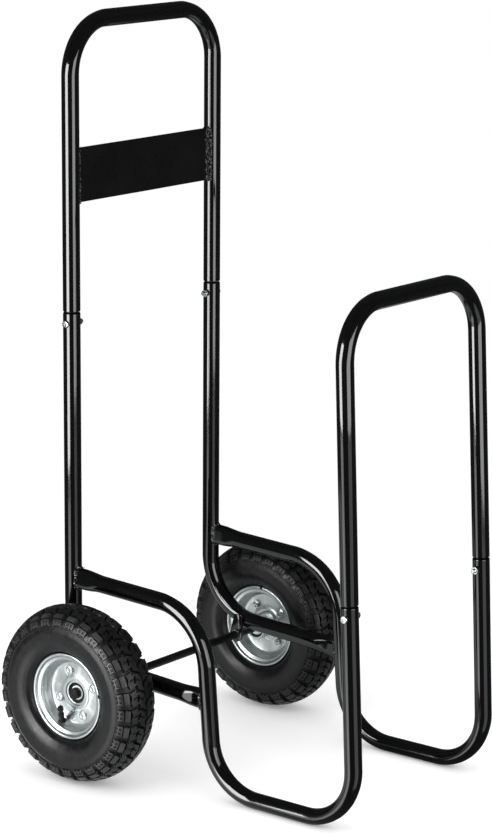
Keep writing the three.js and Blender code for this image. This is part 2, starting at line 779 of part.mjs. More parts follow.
for (const [label, side, turn] of [['left', 1, leftWheelTurn], ['right', -1, rightWheelTurn]]) {
  mesh(`rear_frame_${label}`, rearFrameGeometry(), blackPaint, cart).position.x = side * frameX;
  mesh(`foot_frame_${label}`, footFrameGeometry(), blackPaint, cart).position.x = side * frameX;

  const screwJoints = { rear: [uprightTop, upright], front: [frontTop, frontDirection] };
  for (const [joint, [mouth, upwards]] of Object.entries(screwJoints)) {
    const place = mouth.clone().addScaledVector(upwards, -screwDrop).setX(side * frameX);
    const across = outboard(side, place, cart);
    mesh(`${joint}_screw_${label}`, screwGeometry(), zincPlate, across);
    const nut = mesh(`${joint}_nut_${label}`, nutGeometry(nutHeight, screwDiameter), zincPlate, across);
    nut.position.y = -tubeRadius - seatGap;
    nut.rotation.x = Math.PI;
  }

  const bracketX = frameX - bendWide / 2 - seatGap;
  const bracketPlace = new THREE.Vector3(side * bracketX, 0, wheelRadius);
  mesh(`axle_bracket_${label}`, bracketGeometry(), blackPaint, outboard(-side, bracketPlace, cart));

  const centre = new THREE.Vector3(side * wheelX, 0, wheelRadius);
  const fixed = outboard(side, centre, cart);
  const washerBore = axleRadius + seatGap;
  mesh(`inner_washer_${label}`, ring(washerBore, innerWasherDiameter / 2,
    innerBushFace - seatGap - washerThickness, innerBushFace - seatGap, shaftSides), zincPlate, fixed);
  mesh(`outer_washer_${label}`, ring(washerBore, outerWasherDiameter / 2,
    outerBushFace + seatGap, outerBushFace + seatGap + washerThickness, shaftSides), zincPlate, fixed);
  mesh(`axle_cap_${label}`, axleCapGeometry(), blackPlastic, fixed);

  const wheel = new THREE.Group();
  wheel.rotation.y = -turn;
  outboard(side, centre, cart).add(wheel);
  mesh(`tyre_${label}`, tyreGeometry(), tyreRubber, wheel);
  mesh(`inner_tube_${label}`, innerTubeGeometry(), tubeRubber, wheel);
  mesh(`valve_cap_${label}`, valveCapGeometry(), blackPlastic, wheel);
  mesh(`rim_outer_${label}`, rimHalfGeometry(outerNotchAngle, true), zincPlate, wheel);
  mesh(`rim_inner_${label}`, rimHalfGeometry(innerNotchAngle, false), zincPlate, wheel).rotation.x = Math.PI;
  mesh(`hub_${label}`, ring(hubBoreDiameter / 2, hubDiameter / 2, -hubInnerLength, hubOuterLength, treadPitches),
    zincPlate, wheel);
  const bushRadius = hubBoreDiameter / 2 * Math.cos(Math.PI / treadPitches) - seatGap;
  mesh(`inner_bush_${label}`, ring(washerBore, bushRadius, innerBushFace, innerBushFace + bushLength, shaftSides),
    paleNylon, wheel);
  mesh(`outer_bush_${label}`, ring(washerBore, bushRadius, outerBushFace - bushLength, outerBushFace, shaftSides),
    paleNylon, wheel);
  rimBoltPlaces.forEach((place, i) => {
    mesh(`rim_bolt_${i + 1}_${label}`, rimBoltGeometry(), zincPlate, wheel).position.copy(place);
    const nut = mesh(`rim_nut_${i + 1}_${label}`, nutGeometry(rimNutHeight, rimBoltDiameter), zincPlate, wheel);
    nut.position.set(place.x, -rimFace, place.z);
    nut.rotation.x = Math.PI;
  });
}

// The origin is on the ground, under the middle of the whole cart
const extent = new THREE.Box3().setFromObject(cart, true);
cart.position.y = -(extent.min.y + extent.max.y) / 2;

export default cart;
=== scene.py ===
"""Looks of the firewood log cart: smooth tubes, welds, knobbly tyres, pressed rims and a studio."""

import json
import math

import bpy
import numpy as np
from mathutils import Matrix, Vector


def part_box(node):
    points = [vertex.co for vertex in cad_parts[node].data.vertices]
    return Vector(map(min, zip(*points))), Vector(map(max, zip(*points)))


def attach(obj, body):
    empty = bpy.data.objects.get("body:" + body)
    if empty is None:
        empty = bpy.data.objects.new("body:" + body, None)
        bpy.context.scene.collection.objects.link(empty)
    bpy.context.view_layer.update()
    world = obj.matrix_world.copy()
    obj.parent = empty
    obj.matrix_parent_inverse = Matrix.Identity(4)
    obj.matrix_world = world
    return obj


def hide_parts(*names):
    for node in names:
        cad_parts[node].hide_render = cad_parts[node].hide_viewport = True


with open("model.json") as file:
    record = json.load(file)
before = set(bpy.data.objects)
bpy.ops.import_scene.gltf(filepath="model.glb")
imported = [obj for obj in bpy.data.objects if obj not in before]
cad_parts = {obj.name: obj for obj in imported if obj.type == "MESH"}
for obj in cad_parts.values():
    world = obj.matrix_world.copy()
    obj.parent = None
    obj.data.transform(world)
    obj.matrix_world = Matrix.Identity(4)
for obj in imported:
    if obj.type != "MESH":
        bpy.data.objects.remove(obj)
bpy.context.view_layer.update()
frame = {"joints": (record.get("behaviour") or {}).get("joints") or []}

MM = 0.001
ACROSS = np.array([1.0, 0.0, 0.0])
UP = np.array([0.0, 0.0, 1.0])

# Sizes of the cart in millimetres. A reach is measured from the axle towards the log bay.
TUBE_R = 12.5
BORE_R = 11.0
FRAME_X = 158.5
WHEEL_X = 223.0
AXLE_Y = frame["joints"][0]["pos_m"][1] / MM
AXLE_Z = 130.0
AXLE_R = 6.0
UPRIGHT_REACH = -63
JOINT_Z = 666.0
HANDLE_TOP = 1078
HANDLE_BEND = 76
REAR_CORNER_Z = 155.5
REAR_BEND = 94
LOWER_RAIL_Z = 140.5
TOP_RAIL_REAR_Z = 277
LEG_REACH, LEG_TOP_Z, LEG_BEND = 179, 267, 90
FOOT_Z = 11.4
FOOT_REAR_REACH, FOOT_REAR_BEND = 199.5, 81
FOOT_FRONT_REACH, FOOT_FRONT_BEND = 446.43, 79
FRONT_LEAN = math.radians(2.6)
FRONT_UP = np.array([0.0, math.sin(FRONT_LEAN), math.cos(FRONT_LEAN)])
POST_TOP = 324
LOOP_TOP = 730
LOOP_BEND = 77
LOOP_INSET = 2.6
MOUTH_DEPTH = 1.2
SCREW_DROP = 15
HEAD_REACH = TUBE_R + 0.3

# Tall and wide sizes of the tube in its bends and where it lies on the ground
SIDES = 48
BEND = (23.4, 25.6)
FOOT = (22.6, 26.2)
# Pinched ends: length of the flat, length of the taper and half thickness, and how far they go into a wall
LOWER_PINCH = (7.0, 31.0, 8.6)
UPPER_PINCH = (11.0, 34.0, 7.0)
PINCH_SUNK = 4


def unit(v):
    return v / np.linalg.norm(v)


def mix(a, b, t):
    return a + (b - a) * t


def smooth(low, high, value):
    t = np.clip((value - low) / (high - low), 0.0, 1.0)
    return t * t * (3 - 2 * t)


def circle(steps):
    return 2 * np.pi * np.arange(steps) / steps


def spun(reach, radius, angles):
    """Ring about X at a reach along it. Either size may change round the ring."""
    reach = np.broadcast_to(reach, angles.shape)
    return np.stack([reach, radius * np.cos(angles), radius * np.sin(angles)], -1)


def apart(a, b):
    """Signed angle between two directions."""
    return np.angle(np.exp(1j * (a - b)))


def in_plane(reach, height):
    return np.array([0.0, AXLE_Y - reach, height])


def label(side):
    return "left" if side > 0 else "right"


# Meshes
def add_mesh(name, verts, faces, materials, sharp, face_materials):
    """A shaded mesh object from points in millimetres."""
    mesh = bpy.data.meshes.new(name)
    mesh.from_pydata((np.asarray(verts, float) * MM).tolist(), [], faces)
    mesh.validate()
    for material in materials:
        mesh.materials.append(material)
    mesh.polygons.foreach_set("material_index", np.asarray(face_materials, np.int32))
    mesh.shade_smooth()
    mesh.set_sharp_from_angle(angle=math.radians(sharp))
    mesh.update()
    obj = bpy.data.objects.new(name, mesh)
    bpy.context.scene.collection.objects.link(obj)
    return obj


def grid_faces(rows, cols, wrap_rows=False):
    """Quads of a grid of points, row after row, each row closed on itself."""
    rr, cc = np.meshgrid(np.arange(rows if wrap_rows else rows - 1), np.arange(cols), indexing="ij")
    r2, c2 = (rr + 1) % rows, (cc + 1) % cols
    quads = np.stack([rr * cols + cc, rr * cols + c2, r2 * cols + c2, r2 * cols + cc], -1)
    return quads.reshape(-1, 4).tolist()


class Parts:
    """Gathers several closed forms that become one mesh."""

    def __init__(self):
        self.verts, self.faces, self.slots, self.count = [], [], [], 0

    def add(self, verts, faces, slot=0):
        verts = np.asarray(verts, float).reshape(-1, 3)
        self.faces += [[i + self.count for i in face] for face in faces]
        self.slots += [slot] * len(faces)
        self.verts.append(verts)
        self.count += len(verts)
        return self

    def loft(self, rings, slot=0):
        """Rings joined in order, with a cap on both ends."""
        rings = np.asarray(rings, float)
        rows, cols = rings.shape[:2]
        caps = [list(range(cols))[::-1], [(rows - 1) * cols + i for i in range(cols)]]
        return self.add(rings, grid_faces(rows, cols) + caps, slot)

    def loop(self, rings, slot=0):
        """Rings joined in order, the last one to the first."""
        rings = np.asarray(rings, float)
        return self.add(rings, grid_faces(rings.shape[0], rings.shape[1], wrap_rows=True), slot)

    def made(self, name, materials, sharp=35):
        return add_mesh(name, np.vstack(self.verts), self.faces, materials, sharp, self.slots)


# Routes and sections of the tubes
def bent_route(corners, radii, start_marks=(), end_marks=()):
    """Stations along straight runs and round bends: point, direction, bend number and share of the bend."""
    corners = [np.asarray(c, float) for c in corners]
    first, last = unit(corners[1] - corners[0]), unit(corners[-1] - corners[-2])
    stations = [dict(p=corners[0] + first * m, d=first, start=m) for m in (0.0, *start_marks)]
    for k in range(1, len(corners) - 1):
        before, after = unit(corners[k] - corners[k - 1]), unit(corners[k + 1] - corners[k])
        turn = math.acos(float(before @ after))
        radius = radii[k - 1]
        begin = corners[k] - before * radius * math.tan(turn / 2)
        inward = unit(after - before * float(after @ before))
        centre = begin + inward * radius
        steps = max(8, int(math.degrees(turn) / 3))
        for s in range(steps + 1):
            a = turn * s / steps
            stations.append(dict(
                p=centre - inward * radius * math.cos(a) + before * radius * math.sin(a),
                d=before * math.cos(a) + inward * math.sin(a), bend=k, share=s / steps))
    for m in sorted((0.0, *end_marks), reverse=True):
        stations.append(dict(p=corners[-1] - last * m, d=last, end=m))
    return stations


def oval(tall, wide):
    a = circle(SIDES)
    return np.stack([np.cos(a) * tall / 2, np.sin(a) * wide / 2], -1)


def pressed(half_wide):
    """Tube pressed between two flats, with its girth kept: two round edges joined by flat sides."""
    flat = np.pi * (TUBE_R - half_wide)
    girth = 2 * np.pi * TUBE_R
    quarter = np.pi * half_wide / 2
    points = []
    for t in girth * np.arange(SIDES) / SIDES:
        side = 1.0
        if t > girth / 2:
            t, side = girth - t, -1.0
        if t <= quarter:
            a = t / half_wide
            points.append((flat / 2 + half_wide * math.cos(a), side * half_wide * math.sin(a)))
        elif t <= quarter + flat:
            points.append((flat / 2 - (t - quarter), side * half_wide))
        else:
            a = (t - quarter - flat) / half_wide
            points.append((-flat / 2 - half_wide * math.sin(a), side * half_wide * math.cos(a)))
    return np.array(points)


def placed(section, station, across=ACROSS):
    normal = unit(np.cross(across, station["d"]))
    return station["p"] + section[:, :1] * normal + section[:, 1:] * across


def flattened(shape, w):
    """Section of the tube between round, at 0, and a flattened shape, at 1."""
    return oval(mix(2 * TUBE_R, shape[0], w), mix(2 * TUBE_R, shape[1], w))


def bent_section(station):
    share = station.get("share")
    w = 0.0 if share is None else float(smooth(0, 0.16, share) * smooth(0, 0.16, 1 - share))
    return flattened(BEND, w)


def pinch_section(distance, flat, taper, half):
    """Section at a distance from the axis of the tube that a pinched end is welded to."""
    share = float(np.clip((distance - TUBE_R - flat) / taper, 0, 1))
    share = share * share * (3 - 2 * share)
    return pressed(mix(half, TUBE_R, share))


def pinch_marks(flat, taper, half):
    """Distances of the stations along a pinched end."""
    return [TUBE_R - PINCH_SUNK, TUBE_R + flat / 2] + [TUBE_R + flat + taper * k / 20 for k in range(21)]


def mouth_rings(end, along):
    """Rounded open mouth of a socket at its end, and a short way down inside."""
    lip = ((TUBE_R, 1.1), (TUBE_R - 0.1, 0.5), (TUBE_R - 0.4, 0.12), (TUBE_R - 0.8, 0.0),
           (BORE_R + 0.2, 0.0), (BORE_R, 0.3), (BORE_R, 6.0))
    return [placed(oval(2 * radius, 2 * radius), dict(p=end - along * back, d=along)) for radius, back in lip]


def flipped(ring, like):
    """The ring's points in the order and from the start that lie nearest to another ring's."""
    best = None
    for order in (ring, ring[::-1]):
        start = int(np.argmin(np.linalg.norm((order - order.mean(0)) - (like[0] - like.mean(0)), axis=1)))
        rolled = np.roll(order, -start, axis=0)
        gap = np.abs((rolled - rolled.mean(0)) - (like - like.mean(0))).sum()
        if best is None or gap < best[0]:
            best = (gap, rolled)
    return best[1]


# Welds
def seam(end, along, leg, section):
    """Line where a pinched end meets the round tube that it is welded to, and the outward direction on it."""
    points, outs = [], []
    for point in placed(section, dict(p=end, d=along)):
        q = point - end
        q_side, d_side = q - leg * (q @ leg), along - leg * (along @ leg)
        a, b, c = d_side @ d_side, 2 * q_side @ d_side, q_side @ q_side - TUBE_R ** 2
        t = (-b + math.sqrt(max(b * b - 4 * a * c, 0))) / (2 * a)
        points.append(point + along * t)
        outs.append(unit(unit(q) + 0.9 * unit(d_side)))
    return np.array(points), np.array(outs)


def resampled(points, outs, spacing, closed):
    """Points evenly along a line, with their outward directions."""
    if closed:
        points, outs = np.vstack([points, points[:1]]), np.vstack([outs, outs[:1]])
    gaps = np.linalg.norm(np.diff(points, axis=0), axis=1)
    reach = np.concatenate([[0], np.cumsum(gaps)])
    count = int(reach[-1] / spacing)
    at = np.linspace(0, reach[-1], count + 1)[: count if closed else count + 1]
    line, out = (np.stack([np.interp(at, reach, row) for row in values.T], -1) for values in (points, outs))
    return at, line, out / np.linalg.norm(out, axis=1, keepdims=True), reach[-1]


BEAD_SPACING = 0.45
BEAD_SIDES = 14
SCALE_PITCH = 2.6
SCALE_LAG = 1.1
SPATTERS = 5


def weld(parts, points, outs, radius, seed, closed=True):
    """Rippled weld bead along a line: overlapping scales with uneven pitch and a few spatters."""
    rng = np.random.default_rng(seed)
    at, line, out, length = resampled(points, outs, BEAD_SPACING, closed)
    scales = max(6, int(round(length / SCALE_PITCH)))
    edges = np.linspace(0, length, scales + 1)
    edges[1:-1] += rng.uniform(-0.5, 0.5, scales - 1)
    heights = rng.uniform(0.82, 1.15, scales)
    around = circle(BEAD_SIDES)
    lumps = rng.uniform(0, 1, (len(line), BEAD_SIDES))
    for _ in range(2):
        lumps = 0.5 * lumps + 0.25 * (np.roll(lumps, 1, 0) + np.roll(lumps, -1, 0))
    rings = []
    for i, (s, point, o) in enumerate(zip(at, line, out)):
        ahead = line[(i + 1) % len(line)] if closed or i + 1 < len(line) else point
        behind = line[i - 1] if closed or i > 0 else point
        side = unit(np.cross(unit(ahead - behind), o))
        lag = np.mod(s + SCALE_LAG * np.cos(around) - SCALE_LAG, length)
        k = np.clip(np.searchsorted(edges, lag, side="right") - 1, 0, scales - 1)
        share = (lag - edges[k]) / (edges[k + 1] - edges[k])
        swell = radius * heights[k] * (0.74 + 0.34 * np.sqrt(np.clip(1 - (2 * share - 1) ** 2, 0, 1)))
        swell = swell * (1 + 0.55 * (lumps[i] - 0.5))
        if not closed:
            swell = swell * math.sqrt(max(0.02, min(1.0, min(s, length - s) / (1.5 * radius))))
        high, wide = np.cos(around) * swell, np.sin(around) * swell * 1.1
        rings.append(point + high[:, None] * o + wide[:, None] * side)
    if closed:
        parts.loop(rings, 1)
    else:
        parts.loft(rings, 1)
    for _ in range(SPATTERS):
        i = rng.integers(len(line))
        blob(parts, line[i] + out[i] * radius * 0.6 + rng.uniform(-3, 3, 3), rng.uniform(0.35, 0.7))


def blob(parts, centre, radius):
    """Small round bead of weld spatter."""
    turn = circle(8)
    rings = []
    for k in range(1, 6):
        a = np.pi * k / 6
        rings.append(centre + radius * np.stack([np.sin(a) * np.cos(turn), np.sin(a) * np.sin(turn),
                                                 np.full(8, np.cos(a))], -1))
    parts.loft(rings, 1)


# Turned forms
def lathe(profile, steps=96):
    """Closed rings about local X from an outline of (radius, reach), which may change round a ring."""
    a = circle(steps)
    return np.stack([spun(x, r, a) for r, x in profile])


def rounded(points, amount=0.28, times=2, closed=False):
    """Outline with its corners cut back, for pressed and moulded edges."""
    points = [np.asarray(p, float) for p in points]
    for _ in range(times):
        pairs = zip(points, points[1:] + points[:1] if closed else points[1:])
        cut = [p for a, b in pairs for p in (mix(a, b, amount), mix(a, b, 1 - amount))]
        points = cut if closed else [points[0], *cut, points[-1]]
    return points


def outboard(rings, side, x, y=AXLE_Y, z=AXLE_Z):
    """Rings made about local X with +X outboard, set at a place on a side of the cart."""
    rings = np.array(rings, float)
    rings[..., 0] *= side
    return rings + np.array([x, y, z])


def turned_piece(name, profile, side, mat, steps=128, closed=True):
    """Piece on the axle's line from its outline: a ring, or a solid form that isn't closed on itself."""
    rings = outboard(lathe(profile, steps), side, side * WHEEL_X)
    parts = Parts().loop(rings) if closed else Parts().loft(rings)
    return parts.made(f"v_{name}_{label(side)}", [mat])


# Materials
def material(name, specular=0.5):
    made = bpy.data.materials.new(name)
    made.use_nodes = True
    tree = made.node_tree
    shader = tree.nodes["Principled BSDF"]
    shader.inputs["Specular IOR Level"].default_value = specular
    return made, tree, shader


def node(tree, kind, inputs=(), **settings):
    made = tree.nodes.new(f"ShaderNode{kind}")
    for key, value in settings.items():
        setattr(made, key, value)
    for key, value in dict(inputs).items():
        if isinstance(value, bpy.types.NodeSocket):
            tree.links.new(value, made.inputs[key])
        else:
            made.inputs[key].default_value = value
    return made


def noise(tree, scale, detail=4.0, rough=0.55, stretch=None, distortion=0.0):
    """Noise in the object's own space, in metres."""
    coords = node(tree, "TexCoord").outputs["Object"]
    if stretch is not None:
        coords = node(tree, "Mapping", {"Vector": coords, "Scale": stretch}).outputs["Vector"]
    return node(tree, "TexNoise", {"Vector": coords, "Scale": scale, "Detail": detail,
                                   "Roughness": rough, "Distortion": distortion}).outputs["Fac"]


def ramp(tree, value, source, target):
    """Soft step that takes one range of a value to another."""
    return node(tree, "MapRange", {"Value": value, "From Min": source[0], "From Max": source[1],
                                   "To Min": target[0], "To Max": target[1]},
                interpolation_type="SMOOTHSTEP").outputs["Result"]


def blend(tree, fac, a, b):
    made = node(tree, "Mix", data_type="RGBA")
    tree.links.new(fac, made.inputs[0])
    for socket, value in ((made.inputs[6], a), (made.inputs[7], b)):
        if isinstance(value, bpy.types.NodeSocket):
            tree.links.new(value, socket)
        else:
            socket.default_value = (*value, 1.0)
    return made.outputs[2]


def math_node(tree, kind, a, b):
    return node(tree, "Math", {0: a, 1: b}, operation=kind).outputs[0]


def coat(tree, shader, colour, roughness, *layers):
    """Links a colour, a roughness and stacked bump layers of (height, strength, distance in metres)."""
    normal = None
    for height, strength, distance in layers:
        inputs = {"Height": height, "Strength": strength, "Distance": distance}
        if normal is not None:
            inputs["Normal"] = normal
        normal = node(tree, "Bump", inputs).outputs["Normal"]
    for name, value in (("Base Color", colour), ("Roughness", roughness), ("Normal", normal)):
        tree.links.new(value, shader.inputs[name])


def paint(name, base, dusty, rough, peel, specular):
    """Powder-coated steel: faint orange peel, patches of uneven gloss, a little dust and fine scuffs."""
    made, tree, shader = material(name, specular)
    dust = ramp(tree, noise(tree, 60.0, detail=8.0, rough=0.72), (0.56, 0.86), (0.0, 0.5))
    gloss = ramp(tree, noise(tree, 14.0, detail=3.0), (0.3, 0.7), rough)
    scuffs = noise(tree, 260.0, detail=6.0, rough=0.7, stretch=(1.0, 1.0, 0.12))
    worn = ramp(tree, scuffs, (0.6, 0.85), (0.0, 0.12))
    coat(tree, shader, blend(tree, dust, base, dusty), math_node(tree, "ADD", gloss, worn),
         (noise(tree, 420.0, detail=2.0), peel, 0.0004), (noise(tree, 90.0, detail=3.0), peel * 0.6, 0.0006))
    return made


def rubber(name, base, pale, rough, grain, specular=0.3):
    """Moulded rubber: fine grain, paler bloom in patches."""
    made, tree, shader = material(name, specular)
    bloom = ramp(tree, noise(tree, 38.0, detail=6.0, rough=0.65), (0.35, 0.8), (0.0, 1.0))
    coat(tree, shader, blend(tree, bloom, base, pale),
         ramp(tree, noise(tree, 110.0, detail=5.0), (0.3, 0.7), rough),
         (noise(tree, 1500.0, detail=3.0), grain, 0.0003),
         (noise(tree, 240.0, detail=5.0), grain * 0.6, 0.0005))
    return made


def zinc(name, base, tint, rough, brushed=0.12):
    """Bright zinc plate: cloudy passivation tint, rolling streaks and small dull spots."""
    made, tree, shader = material(name)
    shader.inputs["Metallic"].default_value = 1.0
    cloud = ramp(tree, noise(tree, 26.0, detail=5.0, rough=0.6, distortion=0.6), (0.35, 0.7), (0.0, 1.0))
    spots = ramp(tree, noise(tree, 320.0, detail=7.0, rough=0.7), (0.6, 0.78), (0.0, 0.55))
    dull = tuple(c * 0.72 for c in tint)
    gloss = ramp(tree, noise(tree, 70.0, detail=6.0, rough=0.65), (0.3, 0.72), rough)
    coat(tree, shader, blend(tree, spots, blend(tree, cloud, base, tint), dull),
         math_node(tree, "ADD", gloss, math_node(tree, "MULTIPLY", spots, 0.25)),
         (noise(tree, 900.0, detail=3.0, stretch=(0.2, 1.0, 1.0)), brushed, 0.0002),
         (noise(tree, 40.0, detail=2.0), 0.12, 0.0005))
    return made


def plastic(name, base, pale, rough):
    """Moulded plastic with a faint mottle."""
    made, tree, shader = material(name, specular=0.2)
    mottle = ramp(tree, noise(tree, 130.0, detail=6.0, rough=0.65), (0.35, 0.75), (0.0, 1.0))
    coat(tree, shader, blend(tree, mottle, base, pale),
         ramp(tree, noise(tree, 210.0, detail=5.0), (0.3, 0.7), rough),
         (noise(tree, 1200.0, detail=3.0), 0.3, 0.0002))
    return made


GLOSS = paint("gloss_black", base=(0.0012, 0.0012, 0.0014), dusty=(0.004, 0.004, 0.004), rough=(0.06, 0.11),
              peel=0.03, specular=0.9)
PLATE = paint("plate_black", base=(0.0022, 0.0022, 0.0024), dusty=(0.005, 0.005, 0.005), rough=(0.22, 0.34),
              peel=0.16, specular=0.55)
WELD = paint("weld_black", base=(0.0020, 0.0020, 0.0024), dusty=(0.05, 0.05, 0.05), rough=(0.04, 0.12),
             peel=0.7, specular=1.0)
SATIN = paint("axle_black", base=(0.0020, 0.0020, 0.0022), dusty=(0.006, 0.006, 0.006), rough=(0.24, 0.38),
              peel=0.18, specular=0.6)
TREAD = rubber("tread_rubber", base=(0.0050, 0.0053, 0.0058), pale=(0.012, 0.0125, 0.0135), rough=(0.3, 0.5),
               grain=0.5, specular=0.4)
WALL = rubber("wall_rubber", base=(0.0046, 0.0043, 0.0050), pale=(0.0085, 0.0080, 0.0090), rough=(0.27, 0.38),
              grain=0.22, specular=0.42)
# Pale lug rubber comes in two copies. On the near wheel it is partly wear and partly painted highlight. The
# far wheel gets a darker copy as painted shade.
LIT_LUG_RUBBER = rubber("worn_lit_lug_rubber", base=(0.022, 0.021, 0.021), pale=(0.058, 0.056, 0.056), rough=(0.27, 0.42),
                grain=0.4, specular=0.5)
SHADED_LUG_RUBBER = rubber("worn_shaded_lug_rubber", base=(0.011, 0.011, 0.011), pale=(0.030, 0.029, 0.029),
                    rough=(0.3, 0.45), grain=0.4, specular=0.4)
STEM = rubber("stem_rubber", base=(0.006, 0.006, 0.006), pale=(0.010, 0.010, 0.010), rough=(0.45, 0.6),
              grain=0.4)
ZINC = zinc("rim_zinc", base=(0.63, 0.665, 0.665), tint=(0.55, 0.595, 0.595), rough=(0.3, 0.4))
BOLT = zinc("fastener_zinc", base=(0.60, 0.62, 0.62), tint=(0.50, 0.53, 0.53), rough=(0.2, 0.34), brushed=0.2)
# Washers are in a paler zinc than the bolts and rims, so that they read lit inside the hub's shaded recess: a
# painted highlight.
LIT_WASHER = zinc("lit_washer_zinc", base=(0.86, 0.88, 0.88), tint=(0.80, 0.83, 0.83), rough=(0.5, 0.58), brushed=0.1)
BLACK = plastic("black_plastic", base=(0.006, 0.006, 0.0065), pale=(0.011, 0.011, 0.011), rough=(0.42, 0.56))
# The bushes are painted near black as painted shade in the hub's bore; their natural nylon is pale.
SHADED_BUSH = plastic("shaded_bush_nylon", base=(0.012, 0.012, 0.012), pale=(0.02, 0.02, 0.02), rough=(0.45, 0.6))


def shown(obj, body, slot, *nodes):
    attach(obj, body)
    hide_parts(*nodes)
    return obj


# Corners of the side frame
UPRIGHT_TOP = in_plane(UPRIGHT_REACH, JOINT_Z)
REAR_CORNER = in_plane(UPRIGHT_REACH, REAR_CORNER_Z)
TOP_RAIL_REAR = in_plane(UPRIGHT_REACH, TOP_RAIL_REAR_Z)
LEG_TOP = in_plane(LEG_REACH, LEG_TOP_Z)
FOOT_REAR = in_plane(FOOT_REAR_REACH, FOOT_Z)
FOOT_FRONT = in_plane(FOOT_FRONT_REACH, FOOT_Z)
FRONT_TOP = FOOT_FRONT + FRONT_UP * (POST_TOP - FOOT_Z) / FRONT_UP[2]
RAIL_FRONT = mix(FOOT_REAR, LEG_TOP, (LOWER_RAIL_Z - FOOT_Z) / (LEG_TOP_Z - FOOT_Z))


def side_tube(name, side, rings, end, along, leg, pinch, radius, seed):
    """One tube of the side frame with the weld bead round its pinched end."""
    offset = np.array([side * FRAME_X, 0, 0])
    parts = Parts().loft([ring + offset for ring in rings])
    points, outs = seam(end, along, leg, pressed(pinch[2]))
    weld(parts, points + offset, outs, radius, seed + side)
    return parts.made(f"v_{name}_{label(side)}", [GLOSS, WELD])


def rear_frame(side):
    """Upright, bent forward into the lower rail, with an open mouth at its top."""
    corners = [UPRIGHT_TOP, REAR_CORNER, RAIL_FRONT]
    rings = []
    for station in bent_route(corners, [REAR_BEND], [MOUTH_DEPTH], pinch_marks(*LOWER_PINCH))[1:]:
        end = station.get("end")
        if end is None:
            rings.append(placed(bent_section(station), station))
        elif end > 0:
            rings.append(placed(pinch_section(end, *LOWER_PINCH), station))
    mouth = [flipped(ring, rings[0]) for ring in mouth_rings(UPRIGHT_TOP, UP)[::-1]]
    return side_tube("rear_frame", side, mouth + rings, RAIL_FRONT, unit(REAR_CORNER - RAIL_FRONT),
                     unit(LEG_TOP - FOOT_REAR), LOWER_PINCH, radius=2.5, seed=11)


def foot_frame(side):
    """Top rail, leg, floor run and front post in one tube, with an open mouth on the post."""
    corners = [TOP_RAIL_REAR, LEG_TOP, FOOT_REAR, FOOT_FRONT, FRONT_TOP]
    bends = [LEG_BEND, FOOT_REAR_BEND, FOOT_FRONT_BEND]
    rings = []
    for station in bent_route(corners, bends, pinch_marks(*UPPER_PINCH), [MOUTH_DEPTH])[:-1]:
        start, bend = station.get("start"), station.get("bend")
        if start is not None:
            if start == 0:
                continue
            section = pinch_section(start, *UPPER_PINCH)
        elif bend in (2, 3):
            share = station["share"] if bend == 2 else 1 - station["share"]
            section = flattened(FOOT, float(smooth(0, 0.3, share)))
        else:
            section = bent_section(station)
        rings.append(placed(section, station))
    for ring in mouth_rings(FRONT_TOP, FRONT_UP):
        rings.append(flipped(ring, rings[-1]))
    return side_tube("foot_frame", side, rings, TOP_RAIL_REAR, unit(LEG_TOP - TOP_RAIL_REAR), UP,
                     UPPER_PINCH, radius=2.7, seed=21)


def loop(name, joint, upwards, rise, inset, radius):
    """Inverted U with necked legs that push into two sockets."""
    across = unit(np.cross(upwards, ACROSS))

    def at(x, height):
        return joint + ACROSS * x + upwards * height

    def necked(x, d, profile):
        return [placed(oval(2 * r, 2 * r), dict(p=at(x, h), d=d), across) for r, h in profile]

    neck = [(10.7, -8.0), (10.7, 0.6), (10.9, 1.0), (11.9, 2.4), (12.35, 3.1)]
    full = 3.3
    route = bent_route([at(-FRAME_X, full), at(inset - FRAME_X, rise), at(FRAME_X - inset, rise),
                        at(FRAME_X, full)], [radius, radius])
    bent = [placed(bent_section(station), station, across) for station in route]
    rings = necked(-FRAME_X, upwards, neck) + bent + necked(FRAME_X, -upwards, neck[::-1])
    return Parts().loft(rings).made(name, [GLOSS])


PLATE_STEPS = 40
WELD_STEPS = 70
PLATE_HALF = 1.5
PLATE_SOFT = 0.7
PLATE_BOW = 0.25
# Weld runs up each end of the plate: distances from the tube's axis and off the plate's middle, and radius
PLATE_WELDS = ((13.6, 2.6, 2.9), (11.6, 6.4, 2.3), (15.6, 1.6, 1.9))


